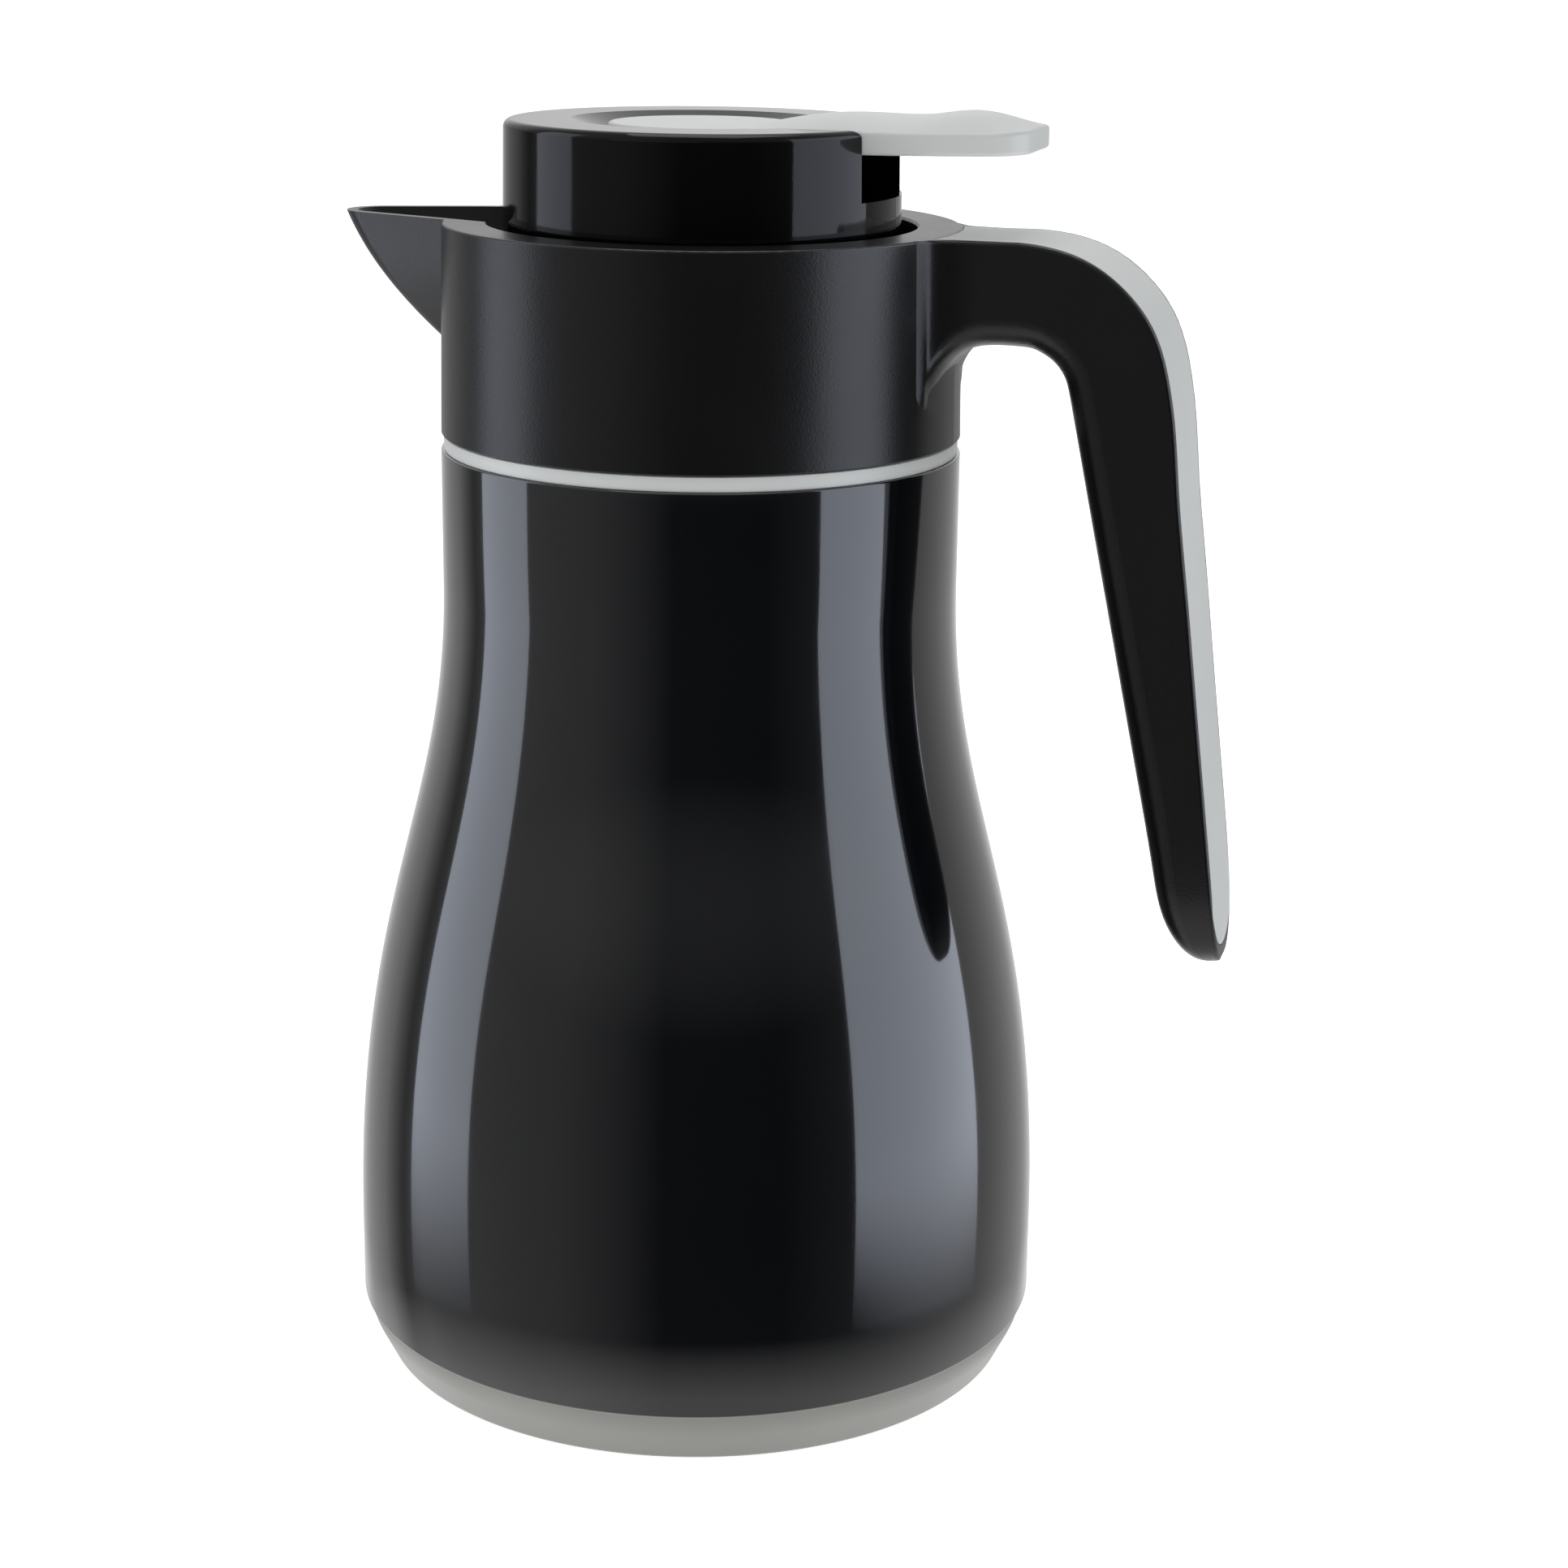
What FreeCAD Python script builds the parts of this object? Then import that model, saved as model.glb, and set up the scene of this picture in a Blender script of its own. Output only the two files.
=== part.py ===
import FreeCAD
import Part
import math
import os

from FreeCAD import Vector

# Thermal carafe with a glass flask, a screw-in lid and a thumb lever that opens the pouring valve.
# Millimetres. The origin is on the floor under the centre, +Z is up, the handle is at +X and the
# pouring beak at -X.

# Heights of the visible stack, from the floor up
BASE_HEIGHT = 11.5
BODY_HEIGHT = 178.7
RING_HEIGHT = 3.0
COLLAR_HEIGHT = 41.5
LID_RISE = 19.9

# General clearances
FIT_GAP = 0.15
SLIDE_GAP = 0.3
SHAFT_GAP = 0.05

# Outer body: bell-shaped jacket with a spigot that carries the ring and the collar
SKIRT_RADIUS = 71.0
NECK_RADIUS = 51.9
BODY_WALL = 2.5
FLARE_START = 16.0
NECK_STRAIGHT = 27.7
FLARE_LOWER_PULL = 0.523
FLARE_UPPER_PULL = 0.353
SPIGOT_STEP = 2.8
SPIGOT_HEIGHT = 7.8

# Base cap and its seal
BASE_STEP = 0.7
BASE_BAND = 1.6
BASE_TAPER = 5.4
BASE_EDGE_RADIUS = 1.6
BASE_SIDE_RADIUS = 14.0
BASE_RECESS = 2.0
BASE_FOOT_WIDTH = 7.6
BASE_PAD_RADIUS = 22.0
BASE_FLOOR = 2.2
BASE_SKIRT_WALL = 2.2
BASE_SKIRT_HEIGHT = 13.0
BASE_SEAL_THICKNESS = 0.6
BASE_SEAL_INSET = 0.9

# Trim ring, set back a little from the collar
RING_SETBACK = 0.5

# Collar: its foot stands a little inside the neck, and the well leaves a rim inside its top
COLLAR_FOOT_STEP = 0.05
COLLAR_DRAFT = 0.65
COLLAR_RIM_WIDTH = 8.8
COLLAR_WALL = 2.5
COLLAR_DECK = 3.0
COLLAR_EDGE_RADIUS = 0.5
COLLAR_FOOT_CHAMFER = 0.4
WELL_DEPTH = 17.7

# Pouring beak: reach beyond the collar, and the shares left of each size at four depths below the deck
BEAK_DEPTH = 26.0
BEAK_REACH = 23.8
BEAK_HALF_WIDTH = 19.5
BEAK_NOSE_RADIUS = 7.4
BEAK_DEPTH_SHARES = (0.0, 0.346, 0.692, 1.0)
BEAK_REACH_SHARES = (1.0, 0.79, 0.475, 0.11)
BEAK_WIDTH_SHARES = (1.0, 0.846, 0.615, 0.333)
BEAK_NOSE_SHARES = (1.0, 0.838, 0.622, 0.351)
BEAK_ROOT_DEPTH = 15.2
BEAK_WALL = 2.2
BEAK_FLOOR_WALL = 3.1
BEAK_NOSE_INSET = 1.8
BEAK_FLOOR_DEPTH = 12.5
BEAK_LIP_DROP = 0.1

# Hook handle: line of its spine, seen from the side
HANDLE_TOP_RUN = 15.1
HANDLE_SPINE_RADIUS = 30.0
HANDLE_SPINE_LEAN = 7.2
HANDLE_DROP = 140.8

# Hook handle: its rounded section, from the collar to the tip
HANDLE_HALF_WIDTH = 13.5
HANDLE_TIP_HALF_WIDTH = 12.5
HANDLE_DEPTH = 20.1
HANDLE_TIP_DEPTH = 12.0
HANDLE_TIP_LENGTH = 21.0
HANDLE_GRIP_EDGE = 5.5
HANDLE_SPINE_EDGE = 0.7
HANDLE_GRIP_EDGE_TO_DEPTH = 0.42
HANDLE_GRIP_EDGE_TO_WIDTH = 0.75
HANDLE_SPINE_EDGE_TO_WIDTH = 0.2
HANDLE_SIDE_BLEND = 12.0
HANDLE_ARCH_BLEND = 11.0
HANDLE_ROOT_SINK = 1.5
HANDLE_BLEND_SINK = 0.8

# Places of the handle's sections: shares of the root, bend and grip, and turns of the round tip
HANDLE_ROOT_SHARES = (0.0, 0.25, 0.5, 0.75, 1.0)
HANDLE_BEND_SHARES = (0.0, 0.25, 0.5, 0.75, 1.0)
HANDLE_GRIP_SHARES = (0.2, 0.4, 0.6, 0.8, 1.0)
HANDLE_TIP_TURNS = (25.0, 50.0, 70.0, 85.0)
HANDLE_TIP_WIDTH_LEFT = 0.2
HANDLE_TIP_DEPTH_LEFT = 0.15
HANDLE_TIP_SPINE_SHARE = 0.1

# Grey strip in the handle's spine
INLAY_RIM = 1.3
INLAY_THICKNESS = 1.8
INLAY_END_LIFT = 3.0
INLAY_END_ROUND_TO_WIDTH = 0.97
INLAY_BED_GAP = 0.05

# Glass flask
LINER_GAP = 3.5
GLASS_WALL = 1.4
VACUUM_GAP = 4.0
LINER_CORNER = 14.0
LINER_NIPPLE_RADIUS = 4.0
LINER_NIPPLE_LENGTH = 6.0
LINER_NIPPLE_ROUND = 2.4
LINER_MOUTH_VACUUM = 2.5
LINER_SHOULDER_HEIGHT = 18.0
LINER_MOUTH_HEIGHT = 11.0
LINER_SHOULDER_PULL = 0.5
LINER_GASKET_THICKNESS = 3.0
CUSHION_HEIGHT = 10.8
CUSHION_INNER_RADIUS = 14.0
CUSHION_OUTER_RADIUS = 34.0
CUSHION_WAIST = 4.0

# Threaded neck insert in the collar
INSERT_LEDGE = 2.4
INSERT_WALL = 2.4
INSERT_SEAT_WIDTH = 10.1
INSERT_LIP = 2.7
INSERT_LIP_SETBACK = 0.5
INSERT_SINK = 1.0
INSERT_FLANGE = 2.0
INSERT_COLLAR = 4.0

# Quick thread between lid and neck: four starts, helical lugs
THREAD_LEAD = 30.0
THREAD_STARTS = 4
THREAD_DEPTH = 2.4
THREAD_LUG_SPAN = 60.0
THREAD_LUG_THICKNESS = 2.0
THREAD_ROOT_SINK = 0.6
THREAD_RADIAL_GAP = 0.4
THREAD_FLANK_GAP = 0.3
THREAD_LIFT = 1.0

# Stopper under the lid
STOPPER_WALL = 2.5
STOPPER_FLANGE = 2.5
STOPPER_FLANGE_LIFT = 3.0
STOPPER_RIM_HEIGHT = 6.5
PLUG_GAP = 2.0
PLUG_LENGTH = 14.3
PLUG_FLOOR = 2.2
PLUG_LIP = 1.2
PLUG_LIP_HEIGHT = 1.1
VALVE_HOLE_RADIUS = 10.0
GASKET_WIDTH = 4.1
GASKET_THICKNESS = 2.0
GUIDE_RADIUS = 5.0
GUIDE_HEIGHT = 4.0
GUIDE_ARMS = 3
GUIDE_ARM_WIDTH = 2.4

# Lid drum
LID_SIDE_GAP = 3.0
LID_DRAFT = 0.45
LID_WALL = 2.2
LID_EDGE_RADIUS = 1.6
DISH_RADIUS = 26.0
DISH_DEPTH = 2.2
LEVER_WELL_RADIUS = 19.8
LEVER_WELL_DEPTH = 16.6
LEVER_WELL_WALL = 1.6
NOTCH_DEPTH = 13.6
NOTCH_CORNER_RADIUS = 1.6
PORT_HALF_WIDTH = 12.0
PORT_HEIGHT = 8.0
PORT_SILL = 1.5
PORT_CORNER_RADIUS = 2.0
SPRING_POCKET_RADIUS = 6.5
SPRING_POCKET_DEPTH = 8.0
SPRING_POCKET_WALL = 1.5
SPRING_POCKET_FLOOR = 3.5

# Thumb lever
LEVER_DISC_RADIUS = 18.6
LEVER_DISC_DROP = 0.5
LEVER_UNDERSIDE_DROP = 4.9
LEVER_HALF_WIDTH = 14.5
LEVER_SIDE_GAP = 0.5
LEVER_REACH = 16.0
LEVER_END_RADIUS = 7.0
LEVER_END_THINNING = 1.0
LEVER_EDGE = 0.8
LEVER_ARM_START = 10.0
LEVER_EDGE_FALL = 0.9
LEVER_CROWN = 3.7
LEVER_STATION_SHARES = (0.0, 0.21, 0.455, 0.638, 0.804, 0.904, 1.017)
LEVER_FALL_SHARES = (1.0, 0.55, 0.45, 0.45, 0.25, 0.0, 0.0)
LEVER_CROWN_SHARES = (0.08, 0.56, 0.75, 0.79, 0.97, 0.6, 0.1)
LEVER_NOSE_RADIUS = 3.0
LEVER_NOSE_LENGTH = 8.0
LEVER_NOSE_DROP = 0.7

# Lever hinge
HINGE_X = -15.0
HINGE_DROP = 10.6
HINGE_BARREL_RADIUS = 3.0
HINGE_BARREL_LENGTH = 12.0
HINGE_EAR_THICKNESS = 2.6
HINGE_SIDE_GAP = 0.4
HINGE_PIN_RADIUS = 1.5

# Valve
STEM_RADIUS = 2.5
STEM_SHOULDER_RADIUS = 4.0
STEM_SHOULDER_HEIGHT = 1.5
STEM_TAIL = 0.6
STEM_CAP_RADIUS = 5.5
STEM_CAP_HEIGHT = 2.9
STEM_CAP_ROOF = 0.7
STEM_CAP_EDGE = 0.9
SEAL_RADIUS = 13.0
SEAL_THICKNESS = 1.6
PLATE_RADIUS = 12.5
PLATE_THICKNESS = 2.5
NUT_ACROSS_FLATS = 8.0
NUT_HEIGHT = 2.4
RING_SEAL_SECTION = 0.85
RING_SEAL_GAP = 0.1

# Return spring
SPRING_RADIUS = 4.4
SPRING_WIRE_RADIUS = 0.5
SPRING_TURNS = 5
SPRING_END_GAP = 0.1
SPRING_SAMPLES = 48

# Radii that follow from the sizes above, from the neck inwards
COLLAR_FOOT_RADIUS = NECK_RADIUS - COLLAR_FOOT_STEP
COLLAR_TOP_RADIUS = COLLAR_FOOT_RADIUS - COLLAR_DRAFT
HANDLE_TURN_X = COLLAR_TOP_RADIUS + HANDLE_TOP_RUN
LEVER_END = COLLAR_TOP_RADIUS + LEVER_REACH
BEAK_ROOT = COLLAR_TOP_RADIUS - BEAK_ROOT_DEPTH
WELL_RADIUS = COLLAR_TOP_RADIUS - COLLAR_RIM_WIDTH
LID_FOOT_RADIUS = WELL_RADIUS - LID_SIDE_GAP
LID_TOP_RADIUS = LID_FOOT_RADIUS - LID_DRAFT
INSERT_RADIUS = WELL_RADIUS - INSERT_LEDGE
INSERT_BORE_RADIUS = INSERT_RADIUS - INSERT_WALL
INSERT_LIP_RADIUS = INSERT_BORE_RADIUS - INSERT_SEAT_WIDTH
STOPPER_SKIRT_RADIUS = INSERT_BORE_RADIUS - THREAD_DEPTH
LINER_MOUTH_RADIUS = INSERT_LIP_RADIUS - INSERT_LIP_SETBACK
PLUG_RADIUS = LINER_MOUTH_RADIUS - PLUG_GAP
BASE_FOOT_RADIUS = SKIRT_RADIUS - BASE_TAPER
BASE_RECESS_RADIUS = BASE_FOOT_RADIUS - BASE_FOOT_WIDTH

# Levels that follow from the sizes above
BODY_TOP = BASE_HEIGHT + BODY_HEIGHT
FLARE_HEIGHT = BODY_HEIGHT - FLARE_START - NECK_STRAIGHT
COLLAR_BOTTOM = BODY_TOP + RING_HEIGHT
COLLAR_TOP = COLLAR_BOTTOM + COLLAR_HEIGHT
LID_TOP = COLLAR_TOP + LID_RISE
SPIGOT_TOP = BODY_TOP + SPIGOT_HEIGHT
SPIGOT_RADIUS = NECK_RADIUS - SPIGOT_STEP
FLARE_BOTTOM = BASE_HEIGHT + FLARE_START
FLARE_TOP = FLARE_BOTTOM + FLARE_HEIGHT
BASE_FLOOR_TOP = BASE_RECESS + BASE_FLOOR
LINER_BOTTOM = BASE_FLOOR_TOP + CUSHION_HEIGHT
WELL_FLOOR = COLLAR_TOP - WELL_DEPTH
WELL_FLOOR_UNDER = WELL_FLOOR - COLLAR_WALL
INSERT_BOTTOM = SPIGOT_TOP - INSERT_SINK
INSERT_SEAT = INSERT_BOTTOM + INSERT_LIP
LINER_TOP = INSERT_BOTTOM - LINER_GASKET_THICKNESS
GASKET_BOTTOM = INSERT_SEAT + SLIDE_GAP
STOPPER_BOTTOM = GASKET_BOTTOM + GASKET_THICKNESS + SLIDE_GAP
FLANGE_BOTTOM = WELL_FLOOR + STOPPER_FLANGE_LIFT
LID_BOTTOM = FLANGE_BOTTOM + STOPPER_FLANGE
PLUG_BOTTOM = STOPPER_BOTTOM - PLUG_LENGTH
LEVER_WELL_FLOOR = LID_TOP - LEVER_WELL_DEPTH
SPRING_SEAT = LEVER_WELL_FLOOR - SPRING_POCKET_DEPTH
LEVER_UNDERSIDE = LID_TOP - LEVER_UNDERSIDE_DROP
HINGE_Z = LID_TOP - HINGE_DROP
NOTCH_FLOOR = LID_TOP - NOTCH_DEPTH
NOTCH_HALF_WIDTH = LEVER_HALF_WIDTH + LEVER_SIDE_GAP
NOSE_Z = LEVER_UNDERSIDE - LEVER_NOSE_DROP
STEM_CAP_TOP = NOSE_Z - LEVER_NOSE_RADIUS - SLIDE_GAP
STEM_CAP_BOTTOM = STEM_CAP_TOP - STEM_CAP_HEIGHT
SEAL_BOTTOM = PLUG_BOTTOM - SEAL_THICKNESS
PLATE_BOTTOM = SEAL_BOTTOM - PLATE_THICKNESS
NUT_BOTTOM = PLATE_BOTTOM - NUT_HEIGHT
THREAD_MIDDLE = (INSERT_SEAT + WELL_FLOOR) / 2.0 + THREAD_LIFT
RING_SEAL_MEAN = STEM_RADIUS + RING_SEAL_GAP + RING_SEAL_SECTION
RING_SEAL_Z = SPRING_SEAT - SPRING_POCKET_FLOOR / 2.0

# Lengths of cutting tools: well past whatever they cut
FAR = 2.0 * (LID_TOP + SKIRT_RADIUS + HANDLE_DROP)
UP = Vector(0, 0, 1)
CENTRE = Vector(0, 0, 0)


def in_xz(a, b):
    """Point of a side outline: distance from the axis and height."""
    return Vector(a, 0, b)


def in_yz(a, b):
    """Point of a front outline: sideways distance and height."""
    return Vector(0, a, b)


def in_xy(a, b):
    """Point of a plan outline."""
    return Vector(a, b, 0)


def rounded_face(corners, place):
    """Flat face inside a closed outline; each corner is (a, b) or (a, b, radius of its rounding)."""
    flat = [Vector(corner[0], corner[1], 0) for corner in corners]
    radii = [corner[2] if len(corner) > 2 else 0.0 for corner in corners]
    edges = []
    starts = []
    ends = []
    for index, point in enumerate(flat):
        before = (flat[index - 1] - point).normalize()
        after = (flat[(index + 1) % len(flat)] - point).normalize()
        if radii[index] == 0.0:
            starts.append(point)
            ends.append(point)
            continue
        half = before.getAngle(after) / 2.0
        reach = radii[index] / math.tan(half)
        middle = (before + after).normalize()
        centre = point + middle * (radii[index] / math.sin(half))
        first = point + before * reach
        last = point + after * reach
        top = centre - middle * radii[index]
        arc = Part.Arc(place(first.x, first.y), place(top.x, top.y), place(last.x, last.y))
        edges.append(arc.toShape())
        starts.append(first)
        ends.append(last)
    for index, point in enumerate(ends):
        following = starts[(index + 1) % len(starts)]
        if point.distanceToPoint(following) > 1e-6:
            edges.append(Part.makeLine(place(point.x, point.y), place(following.x, following.y)))
    return Part.Face(Part.Wire(Part.sortEdges(edges)[0]))


def s_curve(lower, upper, lower_pull, upper_pull):
    """Curve in the side plane that leaves one point and reaches the next upright."""
    rise = upper[1] - lower[1]
    curve = Part.BezierCurve()
    curve.setPoles([
        in_xz(*lower),
        in_xz(lower[0], lower[1] + lower_pull * rise),
        in_xz(upper[0], upper[1] - upper_pull * rise),
        in_xz(*upper),
    ])
    return curve


def curve_face(items):
    """Flat face inside points and curves of the side plane, joined in order by straight lines."""
    runs = [(in_xz(*item), in_xz(*item), None) if isinstance(item, tuple)
            else (item.StartPoint, item.EndPoint, item) for item in items]
    edges = []
    for index, (start, end, curve) in enumerate(runs):
        if curve is not None:
            edges.append(curve.toShape())
        following = runs[(index + 1) % len(runs)][0]
        if end.distanceToPoint(following) > 1e-6:
            edges.append(Part.makeLine(end, following))
    return Part.Face(Part.Wire(edges))


def turned(face):
    """Solid of revolution about the carafe's axis."""
    return face.revolve(CENTRE, UP, 360)


def turned_outline(*corners):
    """Solid of revolution of an outline of (radius, height, rounding) corners."""
    return turned(rounded_face(corners, in_xz))


def rod(radius, bottom, top):
    """Upright cylinder on the axis."""
    return Part.makeCylinder(radius, top - bottom, Vector(0, 0, bottom), UP)


def ring(inner, outer, bottom, top):
    """Upright ring on the axis."""
    return turned_outline((inner, bottom), (outer, bottom), (outer, top), (inner, top))


def crossbar(radius, length, x, z):
    """Cylinder along Y, centred on the side plane."""
    return Part.makeCylinder(radius, length, Vector(x, -length / 2.0, z), Vector(0, 1, 0))


def block(x_from, x_to, half_width, z_from, z_to):
    """Box centred on the side plane."""
    corner = Vector(x_from, -half_width, z_from)
    return Part.makeBox(x_to - x_from, 2.0 * half_width, z_to - z_from, corner)


def side_prism(face, half_width):
    """Side outline drawn out equally to both sides."""
    prism = face.extrude(Vector(0, 2.0 * half_width, 0))
    prism.translate(Vector(0, -half_width, 0))
    return prism


def one_solid(shape, name):
    """The single solid of a finished piece."""
    if len(shape.Solids) != 1 or not shape.isValid():
        raise ValueError(f"{name} is not one valid solid: {len(shape.Solids)}")
    return shape.Solids[0]


def flare(inset):
    """Bell curve of the body, moved inwards."""
    return s_curve((SKIRT_RADIUS - inset, FLARE_BOTTOM), (NECK_RADIUS - inset, FLARE_TOP),
                   FLARE_LOWER_PULL, FLARE_UPPER_PULL)


def reversed_curve(curve):
    """The same curve, run the other way."""
    back = curve.copy()
    back.setPoles(list(reversed(curve.getPoles())))
    return back


def make_outer_body():
    """Glossy bell-shaped jacket."""
    inner_skirt = SKIRT_RADIUS - BODY_WALL
    inner_neck = NECK_RADIUS - BODY_WALL
    inner_spigot = SPIGOT_RADIUS - BODY_WALL
    return turned(curve_face([
        (SKIRT_RADIUS, BASE_HEIGHT),
        flare(0.0),
        (NECK_RADIUS, BODY_TOP),
        (SPIGOT_RADIUS, BODY_TOP),
        (SPIGOT_RADIUS, SPIGOT_TOP),
        (inner_spigot, SPIGOT_TOP),
        (inner_spigot, BODY_TOP - BODY_WALL),
        (inner_neck, BODY_TOP - BODY_WALL),
        reversed_curve(flare(BODY_WALL)),
        (inner_skirt, BASE_HEIGHT),
    ]))


def make_base_cap():
    """Grey base: foot, centre pad, floor and the skirt that holds it in the jacket."""
    land = BASE_HEIGHT - BASE_SEAL_THICKNESS
    band_radius = SKIRT_RADIUS - BASE_STEP
    skirt = SKIRT_RADIUS - BODY_WALL - FIT_GAP
    skirt_inner = skirt - BASE_SKIRT_WALL
    skirt_top = BASE_HEIGHT + BASE_SKIRT_HEIGHT
    return turned_outline(
        (0.0, 0.0),
        (BASE_PAD_RADIUS, 0.0),
        (BASE_PAD_RADIUS + BASE_RECESS, BASE_RECESS),
        (BASE_RECESS_RADIUS, BASE_RECESS),
        (BASE_RECESS_RADIUS + BASE_RECESS, 0.0),
        (BASE_FOOT_RADIUS, 0.0, BASE_EDGE_RADIUS),
        (band_radius, land - BASE_BAND, BASE_SIDE_RADIUS),
        (band_radius, land),
        (skirt, land),
        (skirt, skirt_top),
        (skirt_inner, skirt_top),
        (skirt_inner, BASE_FLOOR_TOP),
        (0.0, BASE_FLOOR_TOP),
    )


def make_base_seal():
    """Flat ring between the base's land and the jacket's foot."""
    bottom = BASE_HEIGHT - BASE_SEAL_THICKNESS
    return ring(SKIRT_RADIUS - BODY_WALL, SKIRT_RADIUS - BASE_SEAL_INSET, bottom, BASE_HEIGHT)


def make_trim_ring():
    """Grey ring on the jacket's spigot, under the collar."""
    return ring(SPIGOT_RADIUS + FIT_GAP, COLLAR_FOOT_RADIUS - RING_SETBACK, BODY_TOP, COLLAR_BOTTOM)


def liner_layer(inset, mouth_radius, bottom, top):
    """Solid of one nested layer of the flask, from its bottom to its mouth."""
    shift = inset - BODY_WALL - LINER_GAP
    corner = LINER_CORNER - shift
    belly = SKIRT_RADIUS - inset
    neck = NECK_RADIUS - inset
    shoulder_top = LINER_TOP - LINER_MOUTH_HEIGHT
    shoulder_bottom = shoulder_top - LINER_SHOULDER_HEIGHT
    bend = corner * (1.0 - math.sqrt(0.5))
    corner_arc = Part.Arc(
        in_xz(belly - corner, bottom),
        in_xz(belly - bend, bottom + bend),
        in_xz(belly, bottom + corner),
    )
    bell = s_curve((belly, bottom + corner), (neck, FLARE_TOP), FLARE_LOWER_PULL, FLARE_UPPER_PULL)
    shoulder = s_curve((neck, shoulder_bottom), (mouth_radius, shoulder_top),
                       LINER_SHOULDER_PULL, LINER_SHOULDER_PULL)
    return turned(curve_face([(0.0, bottom), corner_arc, bell, shoulder, (mouth_radius, top), (0.0, top)]))


def make_glass_liner():
    """Double-walled glass flask with a sealed vacuum and its sealing nipple."""
    outer = BODY_WALL + LINER_GAP
    mouth_inner_wall = LINER_MOUTH_RADIUS + GLASS_WALL
    mouth_outer_wall = mouth_inner_wall + LINER_MOUTH_VACUUM
    gap_bottom = LINER_BOTTOM + GLASS_WALL
    inner_bottom = gap_bottom + VACUUM_GAP
    envelope = liner_layer(outer, mouth_outer_wall + GLASS_WALL, LINER_BOTTOM, LINER_TOP)
    gap_outer = liner_layer(outer + GLASS_WALL, mouth_outer_wall, gap_bottom, LINER_TOP - GLASS_WALL)
    gap_inner = liner_layer(outer + GLASS_WALL + VACUUM_GAP, mouth_inner_wall, inner_bottom, LINER_TOP)
    cavity = liner_layer(outer + 2.0 * GLASS_WALL + VACUUM_GAP, LINER_MOUTH_RADIUS,
                         inner_bottom + GLASS_WALL, LINER_TOP)
    nipple_bottom = LINER_BOTTOM - LINER_NIPPLE_LENGTH
    nipple = turned_outline(
        (0.0, nipple_bottom),
        (LINER_NIPPLE_RADIUS, nipple_bottom, LINER_NIPPLE_ROUND),
        (LINER_NIPPLE_RADIUS, gap_bottom),
        (0.0, gap_bottom),
    )
    return envelope.cut(cavity).cut(gap_outer.cut(gap_inner)).fuse(nipple)


def make_liner_gasket():
    """Seal between the flask's rim and the neck insert."""
    outer = LINER_MOUTH_RADIUS + LINER_MOUTH_VACUUM + 2.0 * GLASS_WALL
    return ring(LINER_MOUTH_RADIUS, outer, LINER_TOP, INSERT_BOTTOM)


def make_liner_cushion():
    """Waisted rubber ring that carries the flask on the base."""
    middle = (BASE_FLOOR_TOP + LINER_BOTTOM) / 2.0
    return turned_outline(
        (CUSHION_INNER_RADIUS, BASE_FLOOR_TOP),
        (CUSHION_OUTER_RADIUS, BASE_FLOOR_TOP),
        (CUSHION_OUTER_RADIUS - CUSHION_WAIST, middle, CUSHION_WAIST),
        (CUSHION_OUTER_RADIUS, LINER_BOTTOM),
        (CUSHION_INNER_RADIUS, LINER_BOTTOM),
    )


def beak_section(depth, tip, half_width, nose):
    """Level outline of the beak: two straight sides that meet a round nose."""
    centre = tip - nose
    span = math.hypot(centre - BEAK_ROOT, half_width)
    turn = math.atan2(half_width, BEAK_ROOT - centre) - math.acos(nose / span)
    touch_x = centre + nose * math.cos(turn)
    touch_y = nose * math.sin(turn)
    level = COLLAR_TOP - depth
    near = Vector(-BEAK_ROOT, -half_width, level)
    far = Vector(-BEAK_ROOT, half_width, level)
    near_touch = Vector(-touch_x, -touch_y, level)
    far_touch = Vector(-touch_x, touch_y, level)
    arc = Part.Arc(near_touch, Vector(-tip, 0, level), far_touch)
    return Part.Wire([
        Part.makeLine(near, near_touch),
        arc.toShape(),
        Part.makeLine(far_touch, far),
        Part.makeLine(far, near),
    ])


def beak_rows():
    """Depth, tip distance, half width and nose radius of the beak's level outlines."""
    shares = zip(BEAK_DEPTH_SHARES, BEAK_REACH_SHARES, BEAK_WIDTH_SHARES, BEAK_NOSE_SHARES)
    return [(BEAK_DEPTH * deep, COLLAR_TOP_RADIUS + BEAK_REACH * reach, BEAK_HALF_WIDTH * wide,
             BEAK_NOSE_RADIUS * nose) for deep, reach, wide, nose in shares]


def beak_at(depth):
    """Tip, half width and nose radius of the beak at a depth, between the given outlines."""
    rows = beak_rows()
    index = max(i for i in range(len(rows) - 1) if i == 0 or rows[i][0] <= depth)
    upper, lower = rows[index], rows[index + 1]
    share = (depth - upper[0]) / (lower[0] - upper[0])
    return [a + share * (b - a) for a, b in zip(upper[1:], lower[1:])]


def make_beak():
    """Outside of the pouring beak, down to where it dies into the collar."""
    beak = Part.makeLoft([beak_section(*row) for row in beak_rows()], True)
    beak = beak.cut(rod(WELL_RADIUS + COLLAR_WALL / 2.0, 0.0, FAR))
    hollow = COLLAR_TOP_RADIUS - COLLAR_WALL / 2.0
    return beak.cut(rod(hollow, 0.0, WELL_FLOOR_UNDER))


def make_channel():
    """Inside of the beak, open at the top and towards the lid."""
    sections = []
    for depth in (-BEAK_WALL, BEAK_FLOOR_DEPTH / 2.0, BEAK_FLOOR_DEPTH):
        tip, half_width, nose = beak_at(depth)
        wall = BEAK_WALL + (BEAK_FLOOR_WALL - BEAK_WALL) * max(depth, 0.0) / BEAK_FLOOR_DEPTH
        sections.append(beak_section(depth, tip - wall, half_width - BEAK_WALL, nose - BEAK_NOSE_INSET))
    return Part.makeLoft(sections, True)


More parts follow.
